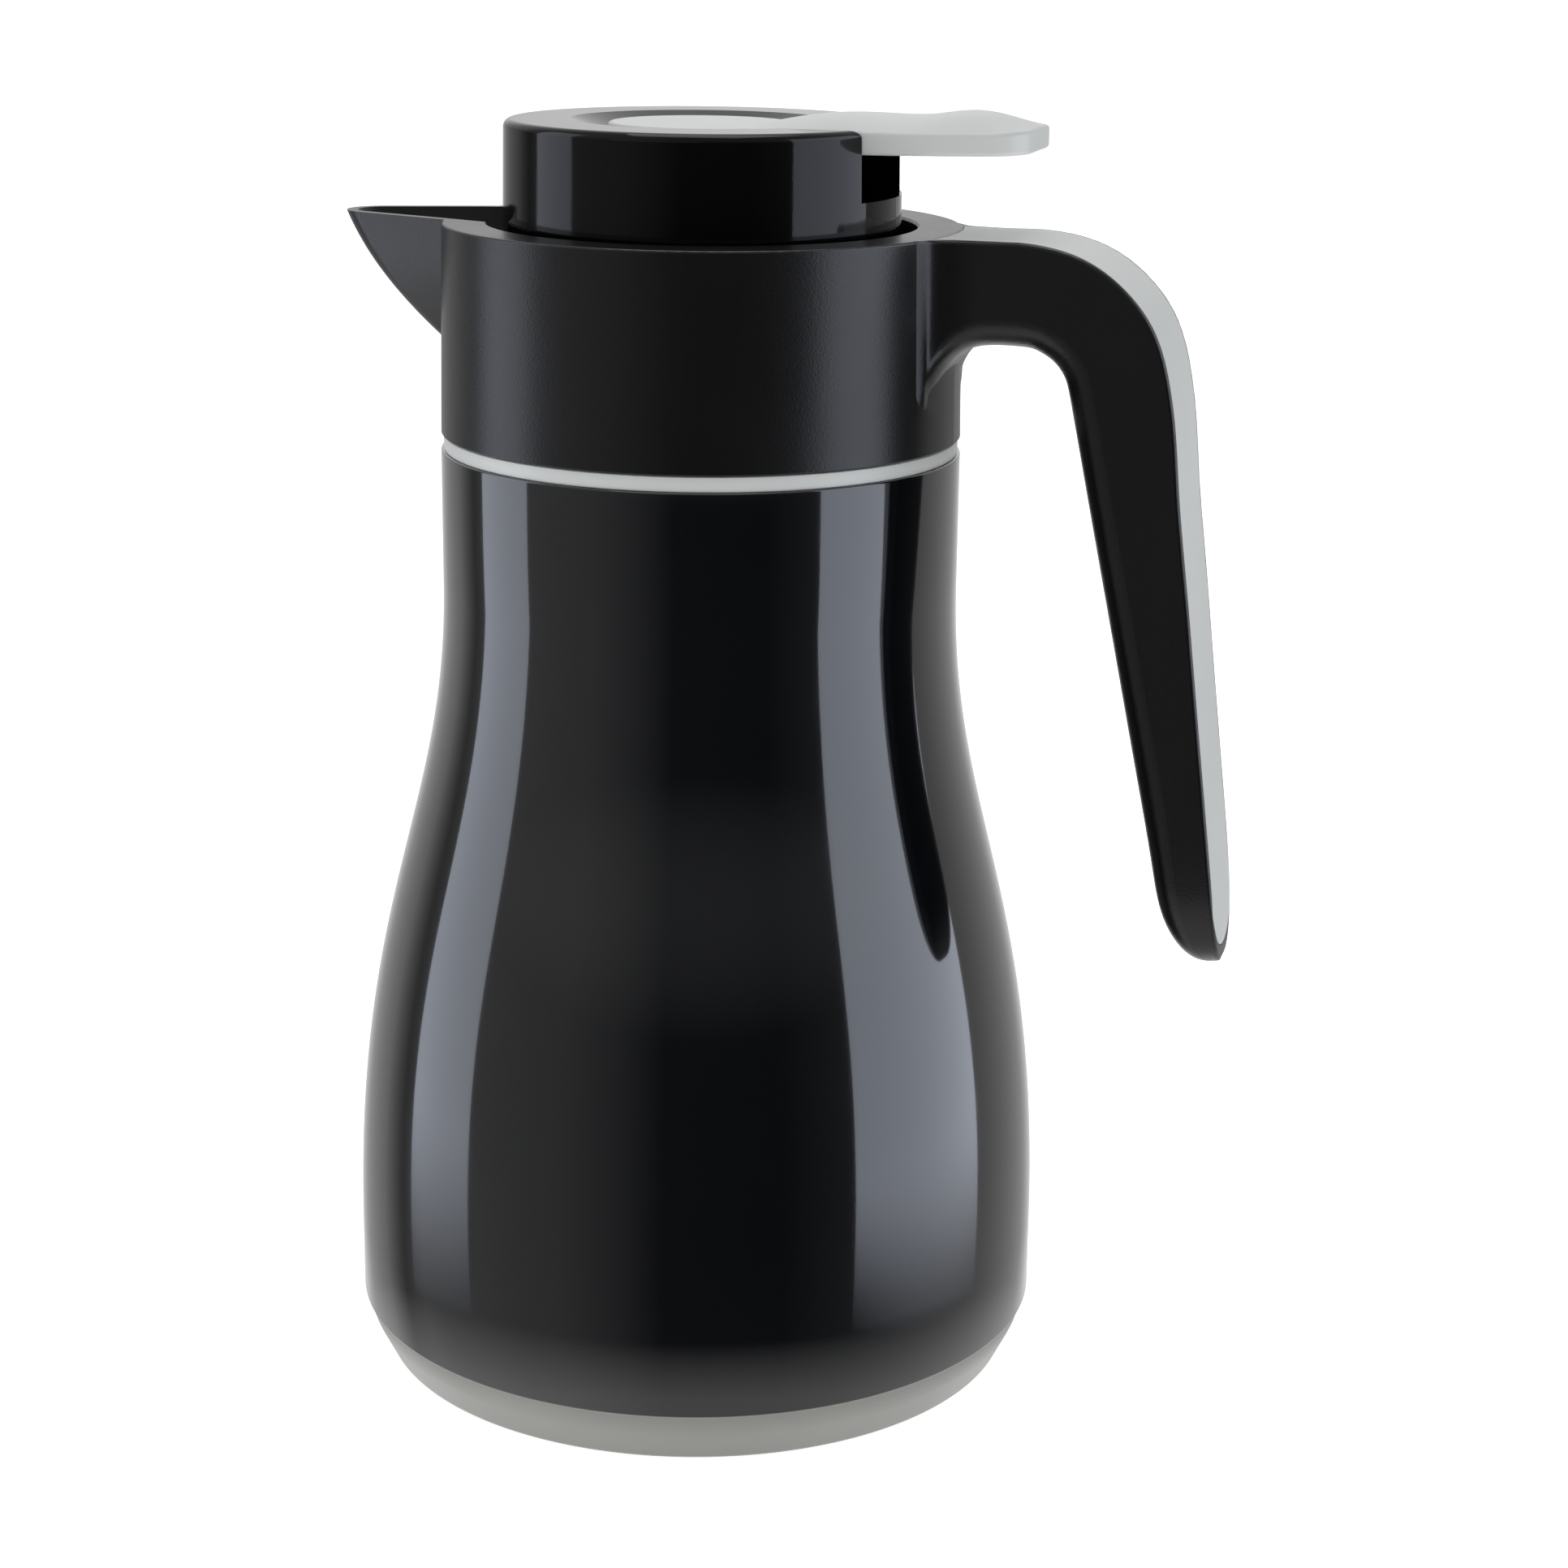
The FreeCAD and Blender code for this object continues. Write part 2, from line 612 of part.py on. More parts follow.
def handle_section(point, inward, half_width, depth):
    """Section of the handle square to its spine: a flat back and a rounded grip side."""
    grip_edge = min(HANDLE_GRIP_EDGE, HANDLE_GRIP_EDGE_TO_DEPTH * depth,
                    HANDLE_GRIP_EDGE_TO_WIDTH * half_width)
    spine_edge = min(HANDLE_SPINE_EDGE, HANDLE_SPINE_EDGE_TO_WIDTH * half_width)

    def place(across, deep):
        return point + inward * deep + Vector(0, across, 0)

    return rounded_face([
        (-half_width, 0.0, spine_edge),
        (half_width, 0.0, spine_edge),
        (half_width, depth, grip_edge),
        (-half_width, depth, grip_edge),
    ], place).OuterWire


def spine_turn():
    """Angle that the spine turns through between the level top and the leaning grip."""
    return math.radians(90.0 - HANDLE_SPINE_LEAN)


def spine_point(angle):
    """Point of the spine's bend and the direction into the handle there."""
    outward = Vector(math.sin(angle), 0, math.cos(angle))
    centre = Vector(HANDLE_TURN_X, 0, COLLAR_TOP - HANDLE_SPINE_RADIUS)
    return centre + outward * HANDLE_SPINE_RADIUS, outward * -1.0


def root_sections():
    """Sections where the handle grows out of the collar, flared in plan and under the arch."""
    arch_centre = COLLAR_TOP_RADIUS - COLLAR_WALL / 2.0 + HANDLE_ARCH_BLEND
    side_centre_y = HANDLE_HALF_WIDTH + HANDLE_SIDE_BLEND
    touch_radius = COLLAR_TOP_RADIUS - HANDLE_BLEND_SINK
    centre_radius = touch_radius + HANDLE_SIDE_BLEND
    side_centre_x = math.sqrt(centre_radius ** 2 - side_centre_y ** 2)
    touch_x = side_centre_x * touch_radius / centre_radius
    root = min(COLLAR_TOP_RADIUS - COLLAR_WALL, touch_x)
    sections = []
    for share in HANDLE_ROOT_SHARES:
        x = root + share * (arch_centre - root)
        side_run = min(max(side_centre_x - x, 0.0), HANDLE_SIDE_BLEND)
        arch_run = min(arch_centre - x, HANDLE_ARCH_BLEND)
        half_width = side_centre_y - math.sqrt(HANDLE_SIDE_BLEND ** 2 - side_run ** 2)
        depth = HANDLE_DEPTH + HANDLE_ARCH_BLEND - math.sqrt(HANDLE_ARCH_BLEND ** 2 - arch_run ** 2)
        if share == 0.0:
            depth += HANDLE_ROOT_SINK
        sections.append(handle_section(Vector(x, 0, COLLAR_TOP), Vector(0, 0, -1), half_width, depth))
    return sections


def grip_sections():
    """Sections down the leaning grip and round its tip."""
    end, inward = spine_point(spine_turn())
    lean = math.radians(HANDLE_SPINE_LEAN)
    along = Vector(math.sin(lean), 0, -math.cos(lean))
    length = (end.z - COLLAR_TOP + HANDLE_DROP) / math.cos(lean) - HANDLE_TIP_LENGTH
    sections = []
    for share in HANDLE_GRIP_SHARES:
        half_width = HANDLE_HALF_WIDTH + share * (HANDLE_TIP_HALF_WIDTH - HANDLE_HALF_WIDTH)
        depth = HANDLE_DEPTH + share * (HANDLE_TIP_DEPTH - HANDLE_DEPTH)
        sections.append(handle_section(end + along * (share * length), inward, half_width, depth))
    for turn in HANDLE_TIP_TURNS:
        left = math.cos(math.radians(turn))
        reach = length + HANDLE_TIP_LENGTH * math.sin(math.radians(turn))
        half_width = HANDLE_TIP_HALF_WIDTH * (HANDLE_TIP_WIDTH_LEFT + (1.0 - HANDLE_TIP_WIDTH_LEFT) * left)
        depth = HANDLE_TIP_DEPTH * (HANDLE_TIP_DEPTH_LEFT + (1.0 - HANDLE_TIP_DEPTH_LEFT) * left)
        spine = end + along * reach + inward * (HANDLE_TIP_SPINE_SHARE * (HANDLE_TIP_DEPTH - depth))
        sections.append(handle_section(spine, inward, half_width, depth))
    return sections


def make_handle():
    """Hook handle, lofted from the collar round the bend and down to its tip."""
    bend = [handle_section(*spine_point(share * spine_turn()), HANDLE_HALF_WIDTH, HANDLE_DEPTH)
            for share in HANDLE_BEND_SHARES]
    handle = Part.makeLoft(root_sections() + bend + grip_sections(), True)
    handle = handle.cut(rod(COLLAR_TOP_RADIUS - COLLAR_WALL / 2.0, 0.0, FAR))
    return handle.cut(block(0.0, FAR, FAR, COLLAR_TOP, FAR))


def spine_corners(inset, end_lift):
    """Corners of a line along the spine, moved into the handle: top, bend and lower end."""
    lean = math.radians(HANDLE_SPINE_LEAN)
    radius = HANDLE_SPINE_RADIUS - inset
    top = COLLAR_TOP - inset
    corner = HANDLE_TURN_X + radius * math.tan(spine_turn() / 2.0)
    end = COLLAR_TOP - HANDLE_DROP + end_lift
    return [(0.0, top), (corner, top, radius), (corner + (top - end) * math.tan(lean), end)]


def spine_strip(outer_inset, inner_inset, side_gap):
    """Strip along the spine between two depths, tapering with the handle to a round end."""
    end_lift = INLAY_END_LIFT - side_gap
    band = spine_corners(outer_inset, 0.0) + list(reversed(spine_corners(inner_inset, 0.0)))
    taper_top = spine_point(spine_turn())[0].z
    end = COLLAR_TOP - HANDLE_DROP + end_lift
    wide = HANDLE_HALF_WIDTH - INLAY_RIM + side_gap
    narrow = HANDLE_TIP_HALF_WIDTH - INLAY_RIM + side_gap
    end_round = INLAY_END_ROUND_TO_WIDTH * narrow
    front = rounded_face([
        (-wide, taper_top),
        (-narrow, end, end_round),
        (narrow, end, end_round),
        (wide, taper_top),
        (wide, FAR),
        (-wide, FAR),
    ], in_yz)
    strip = side_prism(rounded_face(band, in_xz), FAR).common(front.extrude(Vector(FAR, 0, 0)))
    return strip.cut(rod(COLLAR_TOP_RADIUS + 2.0 * FIT_GAP - side_gap, 0.0, FAR))


def make_collar():
    """Matte collar with its beak and handle in one moulding, and the bed of the grey strip."""
    outer_under_deck = COLLAR_TOP_RADIUS - COLLAR_WALL
    well_outer = WELL_RADIUS + COLLAR_WALL
    shell = turned_outline(
        (COLLAR_FOOT_RADIUS - COLLAR_WALL, COLLAR_BOTTOM),
        (COLLAR_FOOT_RADIUS - COLLAR_FOOT_CHAMFER, COLLAR_BOTTOM),
        (COLLAR_FOOT_RADIUS, COLLAR_BOTTOM + COLLAR_FOOT_CHAMFER),
        (COLLAR_TOP_RADIUS, COLLAR_TOP, COLLAR_EDGE_RADIUS),
        (WELL_RADIUS, COLLAR_TOP, COLLAR_EDGE_RADIUS),
        (WELL_RADIUS, WELL_FLOOR),
        (INSERT_RADIUS + FIT_GAP, WELL_FLOOR),
        (INSERT_RADIUS + FIT_GAP, WELL_FLOOR_UNDER),
        (well_outer, WELL_FLOOR_UNDER),
        (well_outer, COLLAR_TOP - COLLAR_DECK),
        (outer_under_deck, COLLAR_TOP - COLLAR_DECK),
    )
    lip_slope = BEAK_LIP_DROP / BEAK_REACH
    lip_cut = rounded_face([
        (-COLLAR_TOP_RADIUS, COLLAR_TOP),
        (-FAR, COLLAR_TOP - lip_slope * (FAR - COLLAR_TOP_RADIUS)),
        (-FAR, FAR),
        (-COLLAR_TOP_RADIUS, FAR),
    ], in_xz)
    collar = shell.fuse([make_beak(), make_handle()])
    collar = collar.cut(make_channel()).cut(side_prism(lip_cut, FAR))
    return collar.cut(spine_strip(-INLAY_THICKNESS, INLAY_THICKNESS + INLAY_BED_GAP, FIT_GAP))


def make_handle_inlay():
    """Grey strip let into the handle's spine, flush with it."""
    return spine_strip(-INLAY_THICKNESS, INLAY_THICKNESS, 0.0).common(make_handle())


def helical_lug(inner, outer, middle_z):
    """One thread lug: a short helical rib, centred on the +X side."""
    half = THREAD_LUG_THICKNESS / 2.0
    rise = THREAD_LEAD * THREAD_LUG_SPAN / 360.0
    path = Part.makeHelix(THREAD_LEAD, rise, (inner + outer) / 2.0)
    section = Part.makePolygon([
        in_xz(inner, -half), in_xz(outer, -half), in_xz(outer, half), in_xz(inner, half), in_xz(inner, -half),
    ])
    lug = Part.Wire(path.Edges).makePipeShell([section], True, True)
    lug.rotate(CENTRE, UP, -THREAD_LUG_SPAN / 2.0)
    lug.translate(Vector(0, 0, middle_z - rise / 2.0))
    return lug


def thread_lugs(inner, outer, middle_z):
    """All starts of the thread."""
    lugs = []
    for index in range(THREAD_STARTS):
        lug = helical_lug(inner, outer, middle_z)
        lug.rotate(CENTRE, UP, index * 360.0 / THREAD_STARTS)
        lugs.append(lug)
    return lugs


def make_neck_insert():
    """Threaded neck: clamps the flask's rim and stands on the jacket's spigot."""
    lip_outer = SPIGOT_RADIUS - FIT_GAP
    tube = turned_outline(
        (INSERT_LIP_RADIUS, INSERT_BOTTOM),
        (INSERT_RADIUS, INSERT_BOTTOM),
        (INSERT_RADIUS, SPIGOT_TOP),
        (lip_outer, SPIGOT_TOP),
        (lip_outer, SPIGOT_TOP + INSERT_FLANGE),
        (INSERT_RADIUS, SPIGOT_TOP + INSERT_FLANGE),
        (INSERT_RADIUS, WELL_FLOOR_UNDER - INSERT_FLANGE),
        (INSERT_RADIUS + INSERT_COLLAR, WELL_FLOOR_UNDER - INSERT_FLANGE),
        (INSERT_RADIUS + INSERT_COLLAR, WELL_FLOOR_UNDER),
        (INSERT_RADIUS, WELL_FLOOR_UNDER),
        (INSERT_RADIUS, WELL_FLOOR),
        (INSERT_BORE_RADIUS, WELL_FLOOR),
        (INSERT_BORE_RADIUS, INSERT_SEAT),
        (INSERT_LIP_RADIUS, INSERT_SEAT),
    )
    lugs = thread_lugs(STOPPER_SKIRT_RADIUS + THREAD_RADIAL_GAP, INSERT_BORE_RADIUS + THREAD_ROOT_SINK,
                       THREAD_MIDDLE)
    return tube.fuse(lugs)


def port_window(x_from, x_to):
    """Pouring port on the beak's side of the lid."""
    sill = LID_BOTTOM + PORT_SILL
    window = rounded_face([
        (-PORT_HALF_WIDTH, sill, PORT_CORNER_RADIUS),
        (PORT_HALF_WIDTH, sill, PORT_CORNER_RADIUS),
        (PORT_HALF_WIDTH, sill + PORT_HEIGHT, PORT_CORNER_RADIUS),
        (-PORT_HALF_WIDTH, sill + PORT_HEIGHT, PORT_CORNER_RADIUS),
    ], in_yz).extrude(Vector(x_to - x_from, 0, 0))
    window.translate(Vector(x_from, 0, 0))
    return window


def make_stopper_body():
    """Threaded stopper: skirt, plug with the valve hole, stem guide and pouring port."""
    skirt_inner = STOPPER_SKIRT_RADIUS - STOPPER_WALL
    plug_inner = PLUG_RADIUS - STOPPER_WALL
    floor = STOPPER_BOTTOM + STOPPER_WALL
    flange = LID_FOOT_RADIUS - FIT_GAP
    rim = LID_FOOT_RADIUS - LID_WALL - SLIDE_GAP
    rim_top = LID_BOTTOM + STOPPER_RIM_HEIGHT
    body = turned_outline(
        (VALVE_HOLE_RADIUS, PLUG_BOTTOM),
        (PLUG_RADIUS, PLUG_BOTTOM),
        (PLUG_RADIUS, INSERT_SEAT - PLUG_LIP_HEIGHT),
        (PLUG_RADIUS + PLUG_LIP, INSERT_SEAT - PLUG_LIP_HEIGHT),
        (PLUG_RADIUS + PLUG_LIP, INSERT_SEAT),
        (PLUG_RADIUS, INSERT_SEAT),
        (PLUG_RADIUS, STOPPER_BOTTOM),
        (STOPPER_SKIRT_RADIUS, STOPPER_BOTTOM),
        (STOPPER_SKIRT_RADIUS, FLANGE_BOTTOM),
        (flange, FLANGE_BOTTOM),
        (flange, LID_BOTTOM),
        (rim, LID_BOTTOM),
        (rim, rim_top),
        (skirt_inner, rim_top),
        (skirt_inner, floor),
        (plug_inner, floor),
        (plug_inner, PLUG_BOTTOM + PLUG_FLOOR),
        (VALVE_HOLE_RADIUS, PLUG_BOTTOM + PLUG_FLOOR),
    )
    lugs = thread_lugs(STOPPER_SKIRT_RADIUS - THREAD_ROOT_SINK, INSERT_BORE_RADIUS - THREAD_RADIAL_GAP,
                       THREAD_MIDDLE - THREAD_LUG_THICKNESS - THREAD_FLANK_GAP)
    guide_bottom = floor - GUIDE_HEIGHT
    guide = rod(GUIDE_RADIUS, guide_bottom, floor)
    arms = []
    for index in range(GUIDE_ARMS):
        arm = block(0.0, plug_inner + STOPPER_WALL / 2.0, GUIDE_ARM_WIDTH / 2.0, guide_bottom, floor)
        arm.rotate(CENTRE, UP, index * 360.0 / GUIDE_ARMS)
        arms.append(arm)
    body = body.fuse(lugs + [guide] + arms)
    body = body.cut(rod(STEM_RADIUS + SHAFT_GAP, 0.0, FAR))
    return body.cut(port_window(-FAR, -PLUG_RADIUS))


def make_stopper_gasket():
    """Seal ring that the stopper presses on the neck's seat."""
    inner = PLUG_RADIUS + SLIDE_GAP
    return ring(inner, inner + GASKET_WIDTH, GASKET_BOTTOM, GASKET_BOTTOM + GASKET_THICKNESS)


def notch_prism():
    """Way of the lever through the lid, with rounded top edges."""
    wide = NOTCH_HALF_WIDTH + FAR
    outline = rounded_face([
        (-NOTCH_HALF_WIDTH, NOTCH_FLOOR),
        (NOTCH_HALF_WIDTH, NOTCH_FLOOR),
        (NOTCH_HALF_WIDTH, LID_TOP, NOTCH_CORNER_RADIUS),
        (wide, LID_TOP),
        (wide, LID_TOP + LID_RISE),
        (-wide, LID_TOP + LID_RISE),
        (-wide, LID_TOP),
        (-NOTCH_HALF_WIDTH, LID_TOP, NOTCH_CORNER_RADIUS),
    ], in_yz)
    return outline.extrude(Vector(FAR, 0, 0))


def hinge_ears():
    """Two ears that carry the lever's pin."""
    inner = HINGE_BARREL_LENGTH / 2.0 + HINGE_SIDE_GAP
    foot = LEVER_WELL_FLOOR - LEVER_WELL_WALL
    ears = []
    for y in (inner, -inner - HINGE_EAR_THICKNESS):
        post = Part.makeBox(2.0 * HINGE_BARREL_RADIUS, HINGE_EAR_THICKNESS, HINGE_Z - foot,
                            Vector(HINGE_X - HINGE_BARREL_RADIUS, y, foot))
        eye = Part.makeCylinder(HINGE_BARREL_RADIUS, HINGE_EAR_THICKNESS, Vector(HINGE_X, y, HINGE_Z),
                                Vector(0, 1, 0))
        ears.append(post.fuse(eye))
    return ears


def make_lid_cap():
    """Glossy lid drum: dished top, lever well, spring pocket, notch and pouring port."""
    stem_hole = STEM_RADIUS + SHAFT_GAP
    well_outer = LEVER_WELL_RADIUS + LEVER_WELL_WALL
    well_under = LEVER_WELL_FLOOR - LEVER_WELL_WALL
    top_under = LID_TOP - DISH_DEPTH - LEVER_WELL_WALL
    pocket_outer = SPRING_POCKET_RADIUS + SPRING_POCKET_WALL
    pocket_under = SPRING_SEAT - SPRING_POCKET_FLOOR
    drum = turned_outline(
        (LID_FOOT_RADIUS, LID_BOTTOM),
        (LID_TOP_RADIUS, LID_TOP, LID_EDGE_RADIUS),
        (DISH_RADIUS, LID_TOP),
        (LEVER_WELL_RADIUS, LID_TOP - DISH_DEPTH),
        (LEVER_WELL_RADIUS, LEVER_WELL_FLOOR),
        (SPRING_POCKET_RADIUS, LEVER_WELL_FLOOR),
        (SPRING_POCKET_RADIUS, SPRING_SEAT),
        (stem_hole, SPRING_SEAT),
        (stem_hole, pocket_under),
        (pocket_outer, pocket_under),
        (pocket_outer, well_under),
        (well_outer, well_under),
        (well_outer, top_under),
        (LID_TOP_RADIUS - LID_WALL, top_under),
        (LID_FOOT_RADIUS - LID_WALL, LID_BOTTOM),
    )
    trough = block(0.0, FAR, NOTCH_HALF_WIDTH + LEVER_WELL_WALL,
                   NOTCH_FLOOR - LEVER_WELL_WALL, LID_TOP - DISH_DEPTH)
    trough = trough.common(rod(LID_TOP_RADIUS - LID_WALL / 2.0, 0.0, FAR))
    trough = trough.cut(rod(LEVER_WELL_RADIUS, 0.0, FAR))
    cap = drum.fuse(trough).fuse(hinge_ears())
    cap = cap.cut(crossbar(HINGE_PIN_RADIUS + SHAFT_GAP, 2.0 * LEVER_WELL_RADIUS, HINGE_X, HINGE_Z))
    cap = cap.cut(notch_prism()).cut(port_window(-FAR, -PLUG_RADIUS))
    groove = RING_SEAL_SECTION + RING_SEAL_GAP
    return cap.cut(rod(RING_SEAL_MEAN + groove, RING_SEAL_Z - groove, RING_SEAL_Z + groove))


def lever_section(along, fall, crown):
    """Section of the lever's arm: flat underside, upright sides and a crowned top."""
    x = LEVER_ARM_START + along * (LEVER_END - LEVER_ARM_START)
    edge = LID_TOP - LEVER_EDGE_FALL * fall
    under = LEVER_UNDERSIDE + LEVER_END_THINNING * along ** 2
    corners = [Vector(x, -LEVER_HALF_WIDTH, edge), Vector(x, -LEVER_HALF_WIDTH, under),
               Vector(x, LEVER_HALF_WIDTH, under), Vector(x, LEVER_HALF_WIDTH, edge)]
    arc = Part.Arc(corners[3], Vector(x, 0, edge + LEVER_CROWN * crown), corners[0])
    return Part.Wire(Part.makePolygon(corners).Edges + [arc.toShape()])


def make_lever():
    """Thumb lever: disc, crowned arm, hinge barrel and the nose that presses the stem."""
    arm = Part.makeLoft([lever_section(*row) for row in
                         zip(LEVER_STATION_SHARES, LEVER_FALL_SHARES, LEVER_CROWN_SHARES)], True)
    plan = rounded_face([
        (0.0, -LEVER_HALF_WIDTH),
        (LEVER_END, -LEVER_HALF_WIDTH, LEVER_END_RADIUS),
        (LEVER_END, LEVER_HALF_WIDTH, LEVER_END_RADIUS),
        (0.0, LEVER_HALF_WIDTH),
    ], in_xy).extrude(Vector(0, 0, FAR))
    arm = arm.common(plan).Solids[0]
    rims = [edge for edge in arm.Edges if edge.CenterOfMass.x > LEVER_ARM_START + LEVER_EDGE
            and edge.BoundBox.ZLength < edge.BoundBox.YLength + edge.BoundBox.XLength]
    arm = arm.makeFillet(LEVER_EDGE, rims)
    disc_top = LID_TOP - LEVER_DISC_DROP
    disc = turned_outline((0.0, LEVER_UNDERSIDE), (LEVER_DISC_RADIUS, LEVER_UNDERSIDE),
                          (LEVER_DISC_RADIUS, disc_top, LEVER_EDGE), (0.0, disc_top))
    nose = crossbar(LEVER_NOSE_RADIUS, LEVER_NOSE_LENGTH, 0.0, NOSE_Z)
    barrel = crossbar(HINGE_BARREL_RADIUS, HINGE_BARREL_LENGTH, HINGE_X, HINGE_Z)
    web = block(HINGE_X - HINGE_BARREL_RADIUS, HINGE_X + HINGE_BARREL_RADIUS, HINGE_BARREL_LENGTH / 2.0,
                HINGE_Z, LEVER_UNDERSIDE)
    lever = arm.fuse([disc, nose, barrel, web])
    return lever.cut(crossbar(HINGE_PIN_RADIUS + SHAFT_GAP, HINGE_BARREL_LENGTH, HINGE_X, HINGE_Z))


def make_lever_pin():
    """Hinge pin through the ears and the lever's barrel."""
    length = HINGE_BARREL_LENGTH + 2.0 * (HINGE_SIDE_GAP + HINGE_EAR_THICKNESS)
    return crossbar(HINGE_PIN_RADIUS, length, HINGE_X, HINGE_Z)


def make_valve_stem():
    """Rod from the lever's nose to the valve, with a shoulder above the seal."""
    bottom = NUT_BOTTOM - STEM_TAIL
    top = STEM_CAP_TOP - STEM_CAP_ROOF
    shoulder = rod(STEM_SHOULDER_RADIUS, PLUG_BOTTOM, PLUG_BOTTOM + STEM_SHOULDER_HEIGHT)
    return rod(STEM_RADIUS, bottom, top).fuse(shoulder)


def make_stem_cap():
    """Push button on the stem, which also holds the spring."""
    bore_top = STEM_CAP_TOP - STEM_CAP_ROOF + SHAFT_GAP
    cap = turned_outline(
        (0.0, STEM_CAP_BOTTOM),
        (STEM_CAP_RADIUS, STEM_CAP_BOTTOM),
        (STEM_CAP_RADIUS, STEM_CAP_TOP, STEM_CAP_EDGE),
        (0.0, STEM_CAP_TOP),
    )
    return cap.cut(rod(STEM_RADIUS + SHAFT_GAP, 0.0, bore_top))


def make_valve_nut():
    """Hexagon nut under the valve plate."""
    corner = NUT_ACROSS_FLATS / math.sqrt(3.0)
    points = [(corner * math.cos(math.radians(60.0 * i)), corner * math.sin(math.radians(60.0 * i)))
              for i in range(6)]
    nut = rounded_face(points, in_xy).extrude(Vector(0, 0, NUT_HEIGHT))
    nut.translate(Vector(0, 0, NUT_BOTTOM))
    return nut.cut(rod(STEM_RADIUS + SHAFT_GAP, 0.0, FAR))


def biarc(start, start_way, end, end_way):
    """Two tangent arcs between two points with given directions."""
    chord = end - start
    ways = start_way + end_way
    a = ways.dot(ways) - 4.0
    b = -2.0 * chord.dot(ways)
    c = chord.dot(chord)
    reach = (-b - math.sqrt(b * b - 4.0 * a * c)) / (2.0 * a)
    if reach < 0.0:
        reach = (-b + math.sqrt(b * b - 4.0 * a * c)) / (2.0 * a)
    first = start + start_way * reach
    second = end - end_way * reach
    joint = (first + second) * 0.5
    edges = []
    for near, corner, far in ((start, first, joint), (joint, second, end)):
        middle = (near + far) * 0.5
        half = near.distanceToPoint(far) / 2.0
        height = corner.distanceToPoint(middle)
        sag = half * math.tan(math.atan2(height, half) / 2.0)
        edges.append(Part.Arc(near, middle + (corner - middle).normalize() * sag, far).toShape())
    return edges


def make_return_spring():
    """Coil spring round the stem: one unbroken wire on quarter-turn biarcs."""
    low = SPRING_SEAT + SPRING_END_GAP + SPRING_WIRE_RADIUS
    high = STEM_CAP_BOTTOM - SPRING_END_GAP - SPRING_WIRE_RADIUS
    pitch = (high - low) / SPRING_TURNS

    def point(turns):
        angle = 2.0 * math.pi * turns
        return Vector(SPRING_RADIUS * math.cos(angle), SPRING_RADIUS * math.sin(angle), low + pitch * turns)

    def way(turns):
        angle = 2.0 * math.pi * turns
        around = 2.0 * math.pi * SPRING_RADIUS
        return Vector(-around * math.sin(angle), around * math.cos(angle), pitch).normalize()

    edges = []
    for quarter in range(4 * SPRING_TURNS):
        here = quarter / 4.0
        there = (quarter + 1) / 4.0
        edges += biarc(point(here), way(here), point(there), way(there))
    wire = Part.Wire(edges)
    circle = Part.Wire(Part.makeCircle(SPRING_WIRE_RADIUS, point(0.0), way(0.0)))
    points = wire.discretize(SPRING_SAMPLES * SPRING_TURNS)
    apart = SPRING_SAMPLES // 2
    gap = min(points[i].distanceToPoint(points[j]) for i in range(len(points))
              for j in range(i + apart, len(points))) - 2.0 * SPRING_WIRE_RADIUS
    print(f"return_spring: least gap to itself {gap:.2f} mm")
    return wire.makePipeShell([circle], True, False)


def make_parts():
    """Every piece by its node name."""
    stem_bore = STEM_RADIUS + SHAFT_GAP
    return {
        "outer_body": make_outer_body(),
        "base_cap": make_base_cap(),
        "base_seal": make_base_seal(),
        "trim_ring": make_trim_ring(),
        "collar": make_collar(),
        "handle_inlay": make_handle_inlay(),
        "glass_liner": make_glass_liner(),
        "liner_gasket": make_liner_gasket(),
        "liner_cushion": make_liner_cushion(),
        "neck_insert": make_neck_insert(),
        "stopper_gasket": make_stopper_gasket(),
        "stopper_body": make_stopper_body(),
        "lid_cap": make_lid_cap(),
        "lever_pin": make_lever_pin(),
        "return_spring": make_return_spring(),
        "stem_seal": Part.makeTorus(RING_SEAL_MEAN, RING_SEAL_SECTION, Vector(0, 0, RING_SEAL_Z)),
        "lever": make_lever(),
        "valve_stem": make_valve_stem(),
        "stem_cap": make_stem_cap(),
        "valve_seal": ring(stem_bore, SEAL_RADIUS, SEAL_BOTTOM, PLUG_BOTTOM),
        "valve_plate": ring(stem_bore, PLATE_RADIUS, PLATE_BOTTOM, SEAL_BOTTOM),
        "valve_nut": make_valve_nut(),
    }


def main():
    """Build every piece and write it to its own file."""
    os.makedirs("parts", exist_ok=True)
    for name, shape in make_parts().items():
        solid = one_solid(shape, name)
        solid.exportStep(f"parts/{name}.step")
        print(f"{name}: {solid.Volume / 1000.0:.2f} cm3")


if __name__ == "__main__":
    main()
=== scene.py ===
import logging
import math
from dataclasses import dataclass, field
from enum import Enum
from typing import Mapping, Sequence

import bmesh
import bpy
from mathutils import Matrix, Vector
from mathutils.geometry import interpolate_bezier


